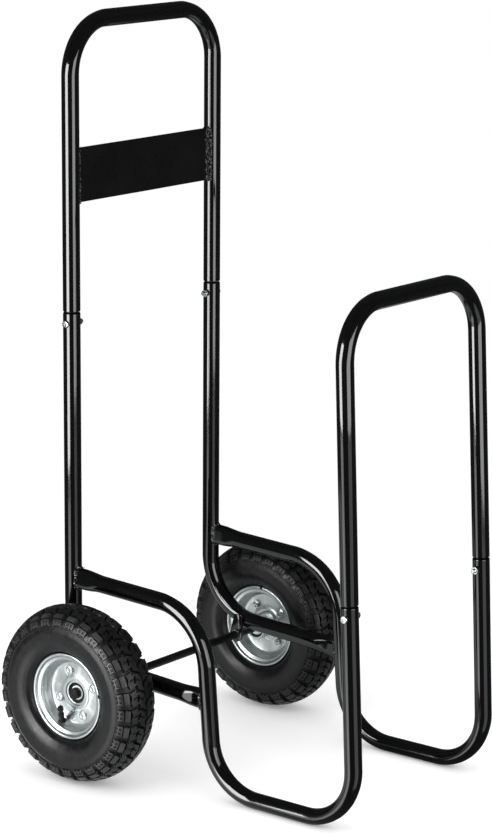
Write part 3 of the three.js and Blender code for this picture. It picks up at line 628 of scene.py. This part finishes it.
def plate():
    """Flat plate with softened edges and a rippled weld up each end."""
    low, high = (np.array(corner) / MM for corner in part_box("handle_plate"))
    y = AXLE_Y - UPRIGHT_REACH
    z0, z1 = low[2] + 3, high[2] - 3
    end = FRAME_X - TUBE_R + 1.0
    flat = PLATE_HALF - PLATE_SOFT
    outline = []
    for cy, cz, turn in ((flat, z0 + PLATE_SOFT, -90), (flat, z1 - PLATE_SOFT, 0),
                         (-flat, z1 - PLATE_SOFT, 90), (-flat, z0 + PLATE_SOFT, 180)):
        for k in range(5):
            a = math.radians(turn + 22.5 * k)
            outline.append((cy + PLATE_SOFT * math.cos(a), cz + PLATE_SOFT * math.sin(a)))
    outline = np.array(outline) + np.array([y, 0.0])
    rings = []
    for k in range(PLATE_STEPS + 1):
        share = k / PLATE_STEPS
        bow = np.array([PLATE_BOW * math.sin(share * math.pi * 3), 0.0])
        rings.append(np.insert(outline + bow, 0, mix(-end, end, share), axis=1))
    parts = Parts().loft(rings)
    for side in (-1, 1):
        for face in (-1, 1):
            for run, (dx, dy, radius) in enumerate(PLATE_WELDS):
                zs = np.linspace(z0 - 2.0 + run, z1 + 2.0 - 1.5 * run, WELD_STEPS)
                sway = 0.8 * np.sin(zs * 0.45 + run * 2 + side)
                line = np.stack([side * (FRAME_X - dx + 0.5 * sway), y + face * (dy + 0.5 * sway), zs], -1)
                outs = np.tile(unit(np.array([-side * 0.7, face * 1.0, 0.0])), (WELD_STEPS, 1))
                weld(parts, line, outs, radius, seed=31 + side + 3 * face + 7 * run, closed=False)
    return parts.made("v_handle_plate", [PLATE, WELD])


# Fasteners
HEAD_STEPS = 72


def thread(start, pitch, turns):
    """Outline of a screw thread: (radius, reach) at its crests and roots."""
    return [(3.0 if k % 2 else 2.6, start + pitch * k) for k in range(turns)]


def cross_head(radius, height, top_radius, recess):
    """Pan head with a cross recess, base at 0 and top towards +X."""
    slot, slot_end = 0.75, 2.6
    a = circle(HEAD_STEPS)
    profile = [(radius * 0.96, 0.0), (radius, 0.3), (radius, height * 0.42), (radius * 0.97, height * 0.62),
               (mix(radius, top_radius, 0.4), height * 0.86), (top_radius, height * 0.97)]
    for r in np.linspace(top_radius * 0.92, 0.05, 16):
        off_arm = r * np.minimum(np.abs(np.cos(a)), np.abs(np.sin(a)))
        inside = smooth(slot + 0.25, slot - 0.1, off_arm) * smooth(slot_end + 0.3, slot_end - 0.3, r)
        profile.append((r, height * (1 - 0.03 * (r / top_radius) ** 2) - recess * inside))
    return lathe(profile, HEAD_STEPS)


def screw(name, side, joint, upwards):
    """Pan-head screw across a joint, with its head outboard and its thread showing past the nut."""
    _, y, z = joint - upwards * SCREW_DROP
    head = cross_head(radius=5.5, height=3.4, top_radius=3.6, recess=1.3)
    tip = [(2.9, HEAD_REACH - 2), (2.9, HEAD_REACH + 1)] + thread(HEAD_REACH + 1, 0.45, 18)
    tip += [(2.3, HEAD_REACH + 9.2), (0.4, HEAD_REACH + 9.3)]
    parts = Parts().loft(outboard(head, side, side * (FRAME_X + TUBE_R - 0.35), y, z))
    return parts.loft(outboard(lathe(tip, 32), -side, side * FRAME_X, y, z)).made(name, [BOLT])


def hexagon(across_flats, height, bore):
    """Hexagon nut with turned corners and a threaded hole, base at 0 and top towards +X."""
    chamfer, mouth = 0.7, 0.6
    a = circle(HEAD_STEPS)
    reach = (across_flats / 2) / np.cos(np.mod(a + np.pi / 6, np.pi / 3) - np.pi / 6)
    drop = chamfer * smooth(across_flats / 2 * 0.99, across_flats / math.sqrt(3), reach)
    flat = across_flats / 2 * 0.98
    profile = [(bore, mouth), (bore + 0.5, 0.0), (flat, 0.0), (reach, drop), (reach, height - drop),
               (flat, height), (bore + 0.5, height), (bore, height - mouth)]
    profile += [(bore + (0.25 if k % 2 else 0.0), mix(height - mouth, mouth, k / 6)) for k in range(1, 6)]
    return lathe(profile, HEAD_STEPS)


def nut(name, side, joint, upwards):
    _, y, z = joint - upwards * SCREW_DROP
    rings = outboard(hexagon(10, 5, 3.05), -side, side * (FRAME_X - TUBE_R + 0.15), y, z)
    return Parts().loop(rings).made(name, [BOLT], 28)


# Axle and its brackets
def axle():
    """Plain rod with chamfered ends and two pressed ears that hold the wheels outboard."""
    end = WHEEL_X + 8
    hub_end, recess, gap, washer_thick, ear_half = 33, 4, 0.6, 1.5, 2.5
    ear = WHEEL_X - hub_end + recess - gap - washer_thick - ear_half
    chamfer = [(end, 4.5), (end - 0.5, 5.1), (end - 1.5, AXLE_R)]
    spots = [-ear + step for step in (-7, -4.6, -2.5, 0, 2.5, 4.6, 7)]
    spots += list(np.linspace(-180, 180, 25)) + [-s for s in spots[::-1]]
    marks = [(-x, r) for x, r in chamfer] + [(s, AXLE_R) for s in spots] + chamfer[::-1]
    cy, cz = np.cos(circle(SIDES)), np.sin(circle(SIDES))
    rings = []
    for x, r in marks:
        squash = float(1 - smooth(2.4, 5.5, abs(abs(x) - ear)))
        wide, thin, power = mix(r, 9.0, squash), mix(r, 2.2, squash), mix(1.0, 0.6, squash)
        rings.append(np.stack([np.full(SIDES, x), np.sign(cy) * np.abs(cy) ** power * wide,
                               np.sign(cz) * np.abs(cz) ** power * thin], -1))
    parts = Parts().loft(np.array(rings) + np.array([0, AXLE_Y, AXLE_Z]))
    return parts.made("v_axle", [SATIN])


def bracket(side):
    """Round-ended tab hanging from the rail's inner flank, with the weld ring that holds the axle."""
    half, top, thick, soft = 11.5, 31.9, 4.0, 0.6
    arc = [(half * math.cos(a), half * math.sin(a)) for a in np.linspace(np.pi, 2 * np.pi, 33)]
    outline = np.array([(3.0, top), (-half, top)] + arc)
    inwards = np.array([unit(p - np.array([0.0, 4.0])) for p in outline])
    rings = []
    for inset, x in ((soft, 0.0), (0.15, 0.2), (0.0, soft),
                     (0.0, thick - soft), (0.15, thick - 0.2), (soft, thick)):
        rings.append(np.insert(outline - inwards * inset, 0, x, axis=1))
    tube_flank, gap = 12.9, 0.3
    x0 = side * (FRAME_X - tube_flank - gap)
    parts = Parts().loft(outboard(rings, -side, x0))
    a = circle(60)
    line = spun(x0 - side * (thick + 0.4), 6.6, a) + np.array([0, AXLE_Y, AXLE_Z])
    outs = spun(-side * 0.8, 1.0, a)
    outs = outs / np.linalg.norm(outs, axis=1, keepdims=True)
    weld(parts, line, outs, radius=2.2, seed=41 + side)
    return parts.made(f"v_axle_bracket_{label(side)}", [GLOSS, WELD])


# Tyres
TYRE_R = 130.0
TYRE_HALF = 36.5
PITCHES = 30
PITCH_STEPS = 26
KNOB_ARC = 44.0
PIP_R = 88.0
PIPS = 11


def tyre_profile():
    """Casing from the bead inside the rim, down the sidewall and up to the crown: (radius, reach)."""
    wall = [(53.0, 13.0), (53.0, 17.2), (56.5, 18.8), (61.5, 20.6), (64.2, 21.6), (65.2, 23.6), (66.4, 26.4),
            (70.0, 30.0), (75.5, 33.4), (82.0, 35.4), (89.0, 35.9), (96.5, 35.8), (103.5, 34.6),
            (109.5, 32.2), (113.6, 28.4), (117.2, 23.8), (120.0, 18.4), (122.2, 12.0), (123.6, 5.6),
            (124.2, 0.0)]
    return np.array(rounded(wall, 0.25, 2))


def knob_height(angle, arc, reach):
    """Height of the tread over the casing, and where it takes the pale lug rubber, whose paleness is partly
    wear and partly painted highlight.

    The angle is in pitches, and the arc in millimetres from the crown.
    """
    height = np.zeros(np.broadcast(angle, arc).shape)
    pale = np.zeros(height.shape, bool)

    def raise_block(inside, amount, worn=False):
        nonlocal height, pale
        amount = np.broadcast_to(amount, height.shape)
        raised = inside & (amount > height)
        height = np.where(raised, amount, height)
        pale = np.where(raised, worn, pale)

    def wave(p, depth, count=4):
        return depth * np.where(np.mod(p * count, 2) < 1, 1.0, -1.0)

    def between(value, low, high):
        return (value > low) & (value < high)

    phase = np.mod(np.where(reach >= 0, angle, angle + 0.5), 1.0)
    # two staggered rows of zigzag blocks each side of the crown, with sipes
    p = np.mod(phase + 0.02 * arc, 1.0)
    row = between(arc, 0.9 + wave(p, 0.5), 10.6 + wave(p, 1.0))
    raise_block(row & between(p, 0.06, 0.94) & ~((np.abs(p - 0.42) < 0.02) & (arc > 4.0)), 5.6)
    q = np.mod(phase + 0.5 - 0.012 * arc, 1.0)
    row = between(arc, 12.4 + wave(q, 1.0), 22.0 + wave(q, 0.6))
    raise_block(row & between(q, 0.08, 0.92) & ~((np.abs(q - 0.5) < 0.02) & (arc < 19.0)), 5.4)
    # shoulder lugs, each ending in a small ladder of bars
    w = np.mod(phase + 0.25, 1.0)
    lug = between(w, 0.07 + wave(arc / 6, 0.015, 2), 0.73)
    raise_block(lug & between(arc, 23.8, 31.4), 5.4, worn=True)
    fall = 1.2 + 2.4 * smooth(44, 31, arc)
    ladder = lug & between(arc, 31.8, 41.5)
    window = (np.mod(arc - 31.8, 5.0) > 2.3) & (arc < 40.5)
    window = window & (np.abs(w - 0.40) > 0.07) & between(w, 0.18, 0.62)
    raise_block(ladder & ~window, fall, worn=True)
    raise_block(ladder & window, fall - 1.6)
    # thin rib that ties the ladders together
    raise_block(between(arc, 42.4, 43.6), 0.5)
    return height, pale


def tyre(side):
    """Casing with its tread, the rings and vent pips of its walls, and a plain lining."""
    outer = tyre_profile()
    reach = np.concatenate([[0], np.cumsum(np.linalg.norm(np.diff(outer, axis=0), axis=1))])
    whole = reach[-1]
    at = np.concatenate([np.arange(0, whole - KNOB_ARC, 2.2), np.arange(whole - KNOB_ARC, whole, 0.62)])
    r, x, arc = np.interp(at, reach, outer[:, 0]), np.interp(at, reach, outer[:, 1]), whole - at
    r = np.concatenate([r, [outer[-1, 0]], r[::-1]])
    x = np.concatenate([x, [0.0], -x[::-1]])
    arc = np.concatenate([arc, [0.0], arc[::-1]])
    dr, dx = np.gradient(r), np.gradient(x)
    size = np.hypot(dr, dx)
    steps = PITCHES * PITCH_STEPS
    turn = circle(steps)
    pitch = PITCHES * np.arange(steps) / steps
    height, pale = knob_height(pitch[None, :], arc[:, None], x[:, None])
    height = np.where(arc[:, None] < KNOB_ARC, height, 0.0)
    wall = np.abs(x) > 20
    rings = sum(0.3 * np.exp(-((r - at_r) / 0.5) ** 2) for at_r in (93.0, 95.6, 98.2)) * wall
    height = height + (0.5 * np.exp(-((r - 70.5) / 0.9) ** 2) + rings)[:, None]
    for k in range(PIPS):
        centre = 2 * np.pi * (k + 0.3) / PIPS
        away = (apart(turn[None, :], centre) * PIP_R) ** 2 + (r[:, None] - PIP_R) ** 2
        height = height + 1.0 * np.exp(-away / 0.9) * wall[:, None]
    radius = np.minimum(r[:, None] + (-dx / size)[:, None] * height, TYRE_R)
    lateral = np.clip(x[:, None] + (dr / size)[:, None] * height, -TYRE_HALF, TYRE_HALF)
    casing = np.stack([lateral, radius * np.cos(turn), radius * np.sin(turn)], -1)
    inner = [(53.0, -13.0), (57.5, -15.0), (80.0, -30.0), (100.0, -29.0), (116.0, -14.0), (119.0, 0.0),
             (116.0, 14.0), (100.0, 29.0), (80.0, 30.0), (57.5, 15.0)]
    skin = outboard(np.concatenate([casing, lathe(inner, steps)]), side, side * WHEEL_X)
    tread = arc < KNOB_ARC
    zone = np.ones(skin.shape[:2], int)
    outside = zone[:len(arc)]
    outside[tread] = 0
    # Slot 2 is the pale lug rubber, partly wear and partly painted highlight.
    outside[pale & (height > 0.5) & tread[:, None]] = 2
    parts = Parts().loop(skin)
    parts.slots = zone.reshape(-1).tolist()
    if side < 0:
        parts.faces = [face[::-1] for face in parts.faces]
    # The far wheel takes the darker copy of the lug rubber as painted shade.
    return parts.made(f"v_tyre_{label(side)}", [TREAD, WALL, SHADED_LUG_RUBBER if side > 0 else LIT_LUG_RUBBER], 32)


# Rims. Places on a wheel are turns in degrees about the axle, for side -1 (right) and 1 (left).
BOLT_TURN = {-1: 69.0, 1: 141.0}
NOTCH_TURN = {(-1, True): 169.0, (-1, False): 22.0, (1, True): 41.0, (1, False): 94.0}
VALVE_TURN = {-1: 296.0, 1: -86.0}
BOLT_CIRCLE = 34
RIM_STEPS = 288
WEB_R = 47
LIP_R = 60
NOTCH_R = 57.6
NOTCH_REACH = 20.6
NOTCH_HALF = 1.6


def rim_outline():
    """Outline of a pressed rim half, from the hub hole to the rolled lip and back: (radius, reach)."""
    out = [(18.7, 4.6), (21.0, 4.6), (24.0, 4.4), (26.0, 2.2), (40.5, 2.0), (43.2, 2.1), (46.0, 2.9),
           (48.0, 5.0), (48.8, 8.6), (49.2, 12.0), (50.6, 13.4), (51.0, 17.0), (52.6, 19.6),
           (56.8, 20.4), (58.0, 21.2), (58.6, 23.4), (60.0, 24.4), (61.4, 24.6), (62.8, 24.2),
           (63.3, 23.2), (63.1, 21.8)]
    back = [(62.0, 21.6), (60.4, 22.2), (59.4, 19.6), (57.2, 18.7), (53.6, 18.0), (52.5, 15.3), (50.9, 9.8),
            (50.2, 4.6), (47.4, 1.2), (43.4, 0.3), (40.5, 0.2), (26.6, 0.3), (24.0, 2.4), (18.7, 2.6)]
    return rounded(out, 0.25, 2), rounded(back, 0.25, 1)


def rim_half(side, outer):
    """Pressed rim half: raised pads round the bolts, dimples under their heads and a notch in the lip."""
    face, rear = rim_outline()
    fine = []
    for a, b in zip(face, face[1:]):
        pieces = max(1, int(np.linalg.norm(b - a) / 1.1))
        fine += [mix(a, b, k / pieces) for k in range(pieces)]
    fine.append(face[-1])
    turn = circle(RIM_STEPS)
    bolts = [math.radians(BOLT_TURN[side] + 90 * k) for k in range(4)]
    notch = math.radians(NOTCH_TURN[(side, outer)])

    def relief(r):
        rise = np.zeros(len(turn))
        for b in bolts:
            pad = smooth(0.66, 0.44, np.abs(apart(turn, b))) * smooth(22.5, 25.5, r) * smooth(45.6, 43.2, r)
            rise += 0.3 * pad
            seat = np.hypot(r * np.cos(turn) - BOLT_CIRCLE * math.cos(b),
                            r * np.sin(turn) - BOLT_CIRCLE * math.sin(b))
            rise -= 0.35 * smooth(9.6, 7.2, seat)
        return rise

    rings = lathe([(r, x + (relief(r) if r < WEB_R else 0.0)) for r, x in fine] + rear, RIM_STEPS)
    cut = np.abs(apart(turn, notch)) * LIP_R < NOTCH_HALF
    radial = np.hypot(rings[..., 1], rings[..., 2])
    lip = (radial > NOTCH_R) & cut[None, :]
    rings[..., 1:] *= np.where(lip, NOTCH_R / np.maximum(radial, 1e-6), 1.0)[..., None]
    rings[..., 0] = np.where(lip, np.minimum(rings[..., 0], NOTCH_REACH), rings[..., 0])
    made = Parts().loop(outboard(rings, side if outer else -side, side * WHEEL_X))
    name = "outer" if outer else "inner"
    return made.made(f"v_rim_{name}_{label(side)}", [ZINC], 30)


def bolt_place(side, k):
    b = math.radians(BOLT_TURN[side] + 90 * k)
    return side * WHEEL_X, AXLE_Y + BOLT_CIRCLE * math.cos(b), AXLE_Z + BOLT_CIRCLE * math.sin(b)


def rim_bolt(side, k):
    """Domed bolt head outboard and its plain threaded end inboard."""
    base = 3.0
    head = [(6.0, base), (6.4, base + 0.25), (6.45, base + 0.9), (6.1, base + 1.6), (5.2, base + 2.1),
            (3.9, base + 2.25), (2.6, base + 2.3), (2.2, base + 2.1), (1.2, base + 2.0), (0.2, base + 2.0)]
    tip = [(2.9, 5.0)] + thread(6.0, 0.4, 7) + [(2.2, 9.1), (0.3, 9.2)]
    shank_and_head = lathe([(3.0, -6.0)] + rounded(head, 0.2, 1), 48)
    parts = Parts().loft(outboard(shank_and_head, side, *bolt_place(side, k)))
    parts.loft(outboard(lathe(tip, 32), -side, *bolt_place(side, k)))
    return parts.made(f"v_rim_bolt_{k + 1}_{label(side)}", [ZINC])


def rim_nut(side, k):
    rings = hexagon(10, 4.5, 3.05) + np.array([2.7, 0, 0])
    return Parts().loop(outboard(rings, -side, *bolt_place(side, k))).made(
        f"v_rim_nut_{k + 1}_{label(side)}", [BOLT], 28)


# Hub and what is on the axle, with reaches measured outboard from the wheel's middle
def hub(side):
    """Hub tube with rounded ends."""
    profile = [(15.0, -32.4), (15.6, -33.0), (17.9, -33.0), (18.5, -32.4), (18.5, 2.3), (18.2, 2.8),
               (17.8, 3.0), (15.7, 3.0), (15.2, 2.8), (15.0, 2.3)]
    return turned_piece("hub", profile, side, ZINC)


def bush(side, name):
    start, end = (-11.0, -1.0) if name == "outer" else (-29.0, -19.0)
    profile = rounded([(6.3, start), (14.6, start), (14.6, end), (6.3, end)], 0.08, 2, closed=True)
    return turned_piece(f"{name}_bush", profile, side, SHADED_BUSH, 64)


def washer(side, name):
    low, radius = (-0.7, 10.5) if name == "outer" else (-30.8, 12.0)
    profile = [(6.3, low + 0.2), (6.5, low), (radius - 0.3, low), (radius, low + 0.3), (radius, low + 1.2),
               (radius - 0.3, low + 1.5), (6.5, low + 1.5), (6.3, low + 1.3)]
    return turned_piece(f"{name}_washer", profile, side, LIT_WASHER, 96)


def axle_cap(side):
    """Push-on cap with a soft crown and a shallow moulded ring."""
    profile = [(6.3, 8.0), (6.3, 1.2), (6.6, 1.1), (7.7, 1.1), (8.0, 1.4), (8.0, 7.6), (7.9, 8.6), (7.4, 9.3),
               (6.6, 9.7), (5.4, 9.85), (5.0, 9.65), (4.4, 9.6), (4.0, 9.85), (2.0, 9.9), (0.2, 9.9)]
    return turned_piece("axle_cap", profile, side, BLACK, 72, closed=False)


# Inner tube and valve
TUBE_MIDDLE_R = 84
TUBE_TALL = 27
TUBE_WIDE = 22
VALVE_SEAT_R = 51.5
VALVE_SEAT_REACH = 8
VALVE_LEAN = math.radians(31)


def valve_rings(side, profile, steps=48, ridge=0.0, ridges=16):
    """Rings along the valve from an outline of (radius, distance along it, whether it is ribbed)."""
    a = math.radians(VALVE_TURN[side])
    radial = np.array([0.0, math.cos(a), math.sin(a)])
    out = np.array([float(side), 0.0, 0.0])
    line = -radial * math.cos(VALVE_LEAN) + out * math.sin(VALVE_LEAN)
    seat = np.array([side * WHEEL_X, AXLE_Y, AXLE_Z]) + radial * VALVE_SEAT_R + out * VALVE_SEAT_REACH
    across = unit(np.cross(radial, out))
    other = np.cross(line, across)
    a = circle(steps)
    rings = []
    for r, along, ribbed in profile:
        r = r + ribbed * ridge * np.sign(np.cos(ridges * a))
        turned = (r * np.cos(a))[:, None] * across
        rings.append(seat + line * along + turned + (r * np.sin(a))[:, None] * other)
    return rings


def inner_tube(side):
    """Inner tube inside the tyre with its rubber valve stem coming out through the rim's barrel."""
    section = [(TUBE_MIDDLE_R + TUBE_TALL * math.cos(a), TUBE_WIDE * math.sin(a)) for a in circle(24)]
    parts = Parts().loop(outboard(lathe(section), side, side * WHEEL_X))
    stem = [(4.6, -12), (4.6, -1), (6.2, 0.6), (6.4, 1.8), (5.6, 3.0), (4.7, 4.6), (4.3, 8.0),
            (4.2, 16.0), (4.6, 16.4), (4.6, 18.0), (4.2, 18.4), (4.1, 22.0), (3.4, 23.0), (3.2, 28.5),
            (2.7, 29.4), (0.5, 29.6)]
    parts.loft(valve_rings(side, [(r, along, 0) for r, along in stem]))
    return parts.made(f"v_inner_tube_{label(side)}", [STEM])


def valve_cap(side):
    """Ribbed cap over the end of the valve."""
    start = 29.9
    profile = [(3.3, 0.4, 0), (3.6, 0.0, 0), (3.95, 0.4, 1), (4.1, 1.2, 1), (4.1, 6.6, 1), (3.95, 7.4, 1),
               (3.3, 8.3, 0), (2.2, 8.85, 0), (0.3, 8.9, 0)]
    rings = valve_rings(side, [(r, start + s, k) for r, s, k in profile], 64, ridge=0.16)
    return Parts().loft(rings).made(f"v_valve_cap_{label(side)}", [BLACK])


# The cart
handle = loop("v_handle", UPRIGHT_TOP, UP, HANDLE_TOP - JOINT_Z, 0.0, HANDLE_BEND)
shown(handle, "frame", "frame_paint", "handle")
front_rise = (LOOP_TOP - POST_TOP) / FRONT_UP[2]
front_loop = loop("v_front_loop", FRONT_TOP, FRONT_UP, front_rise, LOOP_INSET, LOOP_BEND)
shown(front_loop, "frame", "frame_paint", "front_loop")
shown(plate(), "frame", "frame_paint", "handle_plate")
shown(axle(), "frame", "axle_paint", "axle")
for side in (1, -1):
    tag = label(side)
    wheel = f"wheel_{tag}"
    shown(rear_frame(side), "frame", "frame_paint", f"rear_frame_{tag}")
    shown(foot_frame(side), "frame", "frame_paint", f"foot_frame_{tag}")
    shown(bracket(side), "frame", "frame_paint", f"axle_bracket_{tag}")
    for joint, mouth, upwards in (("rear", UPRIGHT_TOP, UP), ("front", FRONT_TOP, FRONT_UP)):
        shown(screw(f"v_{joint}_screw_{tag}", side, mouth, upwards), "frame", "zinc", f"{joint}_screw_{tag}")
        shown(nut(f"v_{joint}_nut_{tag}", side, mouth, upwards), "frame", "zinc", f"{joint}_nut_{tag}")
    for name in ("outer", "inner"):
        shown(washer(side, name), "frame", "zinc", f"{name}_washer_{tag}")
        shown(bush(side, name), wheel, "nylon", f"{name}_bush_{tag}")
        shown(rim_half(side, name == "outer"), wheel, "zinc", f"rim_{name}_{tag}")
    shown(axle_cap(side), "frame", "black_plastic", f"axle_cap_{tag}")
    shown(tyre(side), wheel, "tyre", f"tyre_{tag}")
    shown(inner_tube(side), wheel, "tube_rubber", f"inner_tube_{tag}")
    shown(valve_cap(side), wheel, "black_plastic", f"valve_cap_{tag}")
    shown(hub(side), wheel, "zinc", f"hub_{tag}")
    for k in range(4):
        shown(rim_bolt(side, k), wheel, "zinc", f"rim_bolt_{k + 1}_{tag}")
        shown(rim_nut(side, k), wheel, "zinc", f"rim_nut_{k + 1}_{tag}")


# Camera
VIEW_AZ, VIEW_EL, VIEW_ROLL = math.radians(-51.876), math.radians(12.967), math.radians(0.372)
VIEW_TARGET = np.array([297.059, 267.229, 422.695]) * MM
VIEW_DISTANCE = 4.684745
TO_CAMERA = np.array([math.sin(VIEW_AZ) * math.cos(VIEW_EL), -math.cos(VIEW_AZ) * math.cos(VIEW_EL),
                      math.sin(VIEW_EL)])


def aim(obj, place, target, roll=0.0):
    """Places an object so that its -Z looks at a target, with the frame turned by roll."""
    place, target = np.asarray(place, float), np.asarray(target, float)
    back = unit(place - target)
    right = unit(np.cross(UP, back))
    up = np.cross(back, right)
    c, s = math.cos(roll), math.sin(roll)
    right, up = c * right + s * up, -s * right + c * up
    obj.matrix_world = Matrix([[right[i], up[i], back[i], place[i]] for i in range(3)] + [[0, 0, 0, 1]])


camera_data = bpy.data.cameras.new("camera")
camera_data.lens = 128.416
camera_data.sensor_width = 36.0
camera_data.clip_end = 60.0
camera = bpy.data.objects.new("camera", camera_data)
bpy.context.scene.collection.objects.link(camera)
aim(camera, VIEW_TARGET + TO_CAMERA * VIEW_DISTANCE, VIEW_TARGET, VIEW_ROLL)
bpy.context.scene.camera = camera


# Studio lights, in metres
def softbox(name, offset_deg, distance, centre_z, size, radiance, glossy):
    """Upright soft light at a bearing from the camera's, for reflections or for shading."""
    bearing = VIEW_AZ + math.radians(offset_deg)
    width, height = size
    data = bpy.data.lights.new(name, "AREA")
    data.shape = "RECTANGLE"
    data.size = width
    data.size_y = height
    data.energy = radiance * math.pi * width * height
    obj = bpy.data.objects.new(name, data)
    bpy.context.scene.collection.objects.link(obj)
    place = (math.sin(bearing) * distance, -math.cos(bearing) * distance, centre_z)
    aim(obj, place, (0.0, 0.0, centre_z))
    obj.visible_camera = False
    obj.visible_glossy = glossy
    obj.visible_diffuse = not glossy


softbox("key_sheen", -52, distance=1.9, centre_z=0.78, size=(1.05, 1.5), radiance=9.5, glossy=True)
softbox("fill_sheen", 40, distance=2.1, centre_z=0.78, size=(1.5, 1.5), radiance=3.4, glossy=True)
softbox("key_glow", -60, distance=1.9, centre_z=1.3, size=(1.4, 1.8), radiance=2.2, glossy=False)
softbox("fill_glow", 40, distance=2.1, centre_z=1.3, size=(1.3, 1.8), radiance=1.0, glossy=False)

# World: white where it is seen, and a plain light for the rest
WHITE = (1, 1, 1, 1)
world = bpy.data.worlds.new("studio")
world.use_nodes = True
bpy.context.scene.world = world
tree = world.node_tree
tree.nodes.clear()
paths = node(tree, "LightPath")
backdrop = node(tree, "Background", {"Color": WHITE, "Strength": 1.0})
ambient = node(tree, "Background", {"Color": WHITE, "Strength": 0.95})
seen = math_node(tree, "MAXIMUM", paths.outputs["Is Glossy Ray"], paths.outputs["Is Transmission Ray"])
seen = math_node(tree, "MAXIMUM", paths.outputs["Is Camera Ray"], seen)
chosen = node(tree, "MixShader", {0: seen, 1: ambient.outputs[0], 2: backdrop.outputs[0]})
node(tree, "OutputWorld", {"Surface": chosen.outputs[0]})

# Floor: pale paper that turns white further out. Reflections see a dark sheet with two bright pools instead.
FLOOR_R = 30.0
FLOOR_RINGS = 24
STAGE_STEPS = 96
PAPER_GLOW = 0.19
WHITE_FROM_TO = (0.5, 1.2)
POOLS = ((-0.36, 0.36, 0.0), (0.66, 0.36, 0.0))
POOL_FROM_TO = (0.36, 0.70)
POOL_GLOW = (0.6, 0.04)


def set_rings(profile):
    """Rings about Z from an outline of (radius, height) in metres."""
    a = circle(STAGE_STEPS)
    rings = [np.stack([r * np.cos(a), r * np.sin(a), np.full(len(a), z)], -1) for r, z in profile]
    return np.array(rings) / MM


floor_material, tree, shader = material("pale_floor")
tree.nodes.remove(shader)
paths = node(tree, "LightPath")
place = node(tree, "TexCoord").outputs["Object"]
away = node(tree, "VectorMath", {0: place}, operation="LENGTH").outputs["Value"]
speckle = ramp(tree, noise(tree, 30.0, detail=5.0), (0.3, 0.7), (0.97, 1.0))
pale = node(tree, "CombineColor", {0: speckle, 1: speckle, 2: speckle}).outputs[0]
paper = node(tree, "BsdfDiffuse", {"Color": pale})
glow = node(tree, "Emission", {"Color": WHITE, "Strength": PAPER_GLOW})
paper_lit = node(tree, "AddShader", {0: paper.outputs[0], 1: glow.outputs[0]})
white = node(tree, "Emission", {"Color": WHITE, "Strength": 1.0})
far = ramp(tree, away, WHITE_FROM_TO, (0.0, 1.0))
lit = node(tree, "MixShader", {0: far, 1: paper_lit.outputs[0], 2: white.outputs[0]})
glows = []
for spot in POOLS:
    beside = node(tree, "VectorMath", {0: place, 1: spot}, operation="DISTANCE").outputs["Value"]
    glows.append(ramp(tree, beside, POOL_FROM_TO, POOL_GLOW))
brightest = math_node(tree, "MAXIMUM", *glows)
pool = node(tree, "Emission", {"Color": (0.97, 1.0, 1.0, 1.0), "Strength": brightest})
sheet = node(tree, "BsdfGlossy", {"Color": (0.2, 0.2, 0.2, 1.0), "Roughness": 0.14})
reflected = node(tree, "AddShader", {0: pool.outputs[0], 1: sheet.outputs[0]})
glossy = paths.outputs["Is Glossy Ray"]
final = node(tree, "MixShader", {0: glossy, 1: lit.outputs[0], 2: reflected.outputs[0]})
tree.links.new(final.outputs[0], tree.nodes["Material Output"].inputs["Surface"])
floor_rings = set_rings([(r, 0.0) for r in np.linspace(0.001, FLOOR_R, FLOOR_RINGS)])
floor = Parts().add(floor_rings, [f[::-1] for f in grid_faces(FLOOR_RINGS, STAGE_STEPS)]).made(
    "floor", [floor_material])

# Dark curtain and ceiling round the set, which only reflections see: a painted reflection of a dark room,
# glowing dimly in soft stripes as painted shading of folds.
curtain_material, tree, shader = material("dark_curtain")
tree.nodes.remove(shader)
fold_glow = ramp(tree, noise(tree, 2.0, detail=3.0, stretch=(1.0, 1.0, 0.1)), (0.3, 0.7), (0.035, 0.07))
curtain_glow = node(tree, "Emission", {"Color": (0.95, 0.98, 1.0, 1.0), "Strength": fold_glow})
tree.links.new(curtain_glow.outputs[0], tree.nodes["Material Output"].inputs["Surface"])
curtain_rings = set_rings([(3.0, 0.002), (3.0, 3.2), (2.4, 4.0), (0.01, 4.2)])
curtain = Parts().add(curtain_rings, grid_faces(len(curtain_rings), STAGE_STEPS)).made(
    "curtain", [curtain_material])
for kind in ("camera", "diffuse", "transmission", "shadow", "volume_scatter"):
    setattr(curtain, f"visible_{kind}", False)

bpy.context.scene.view_settings.view_transform = "Standard"
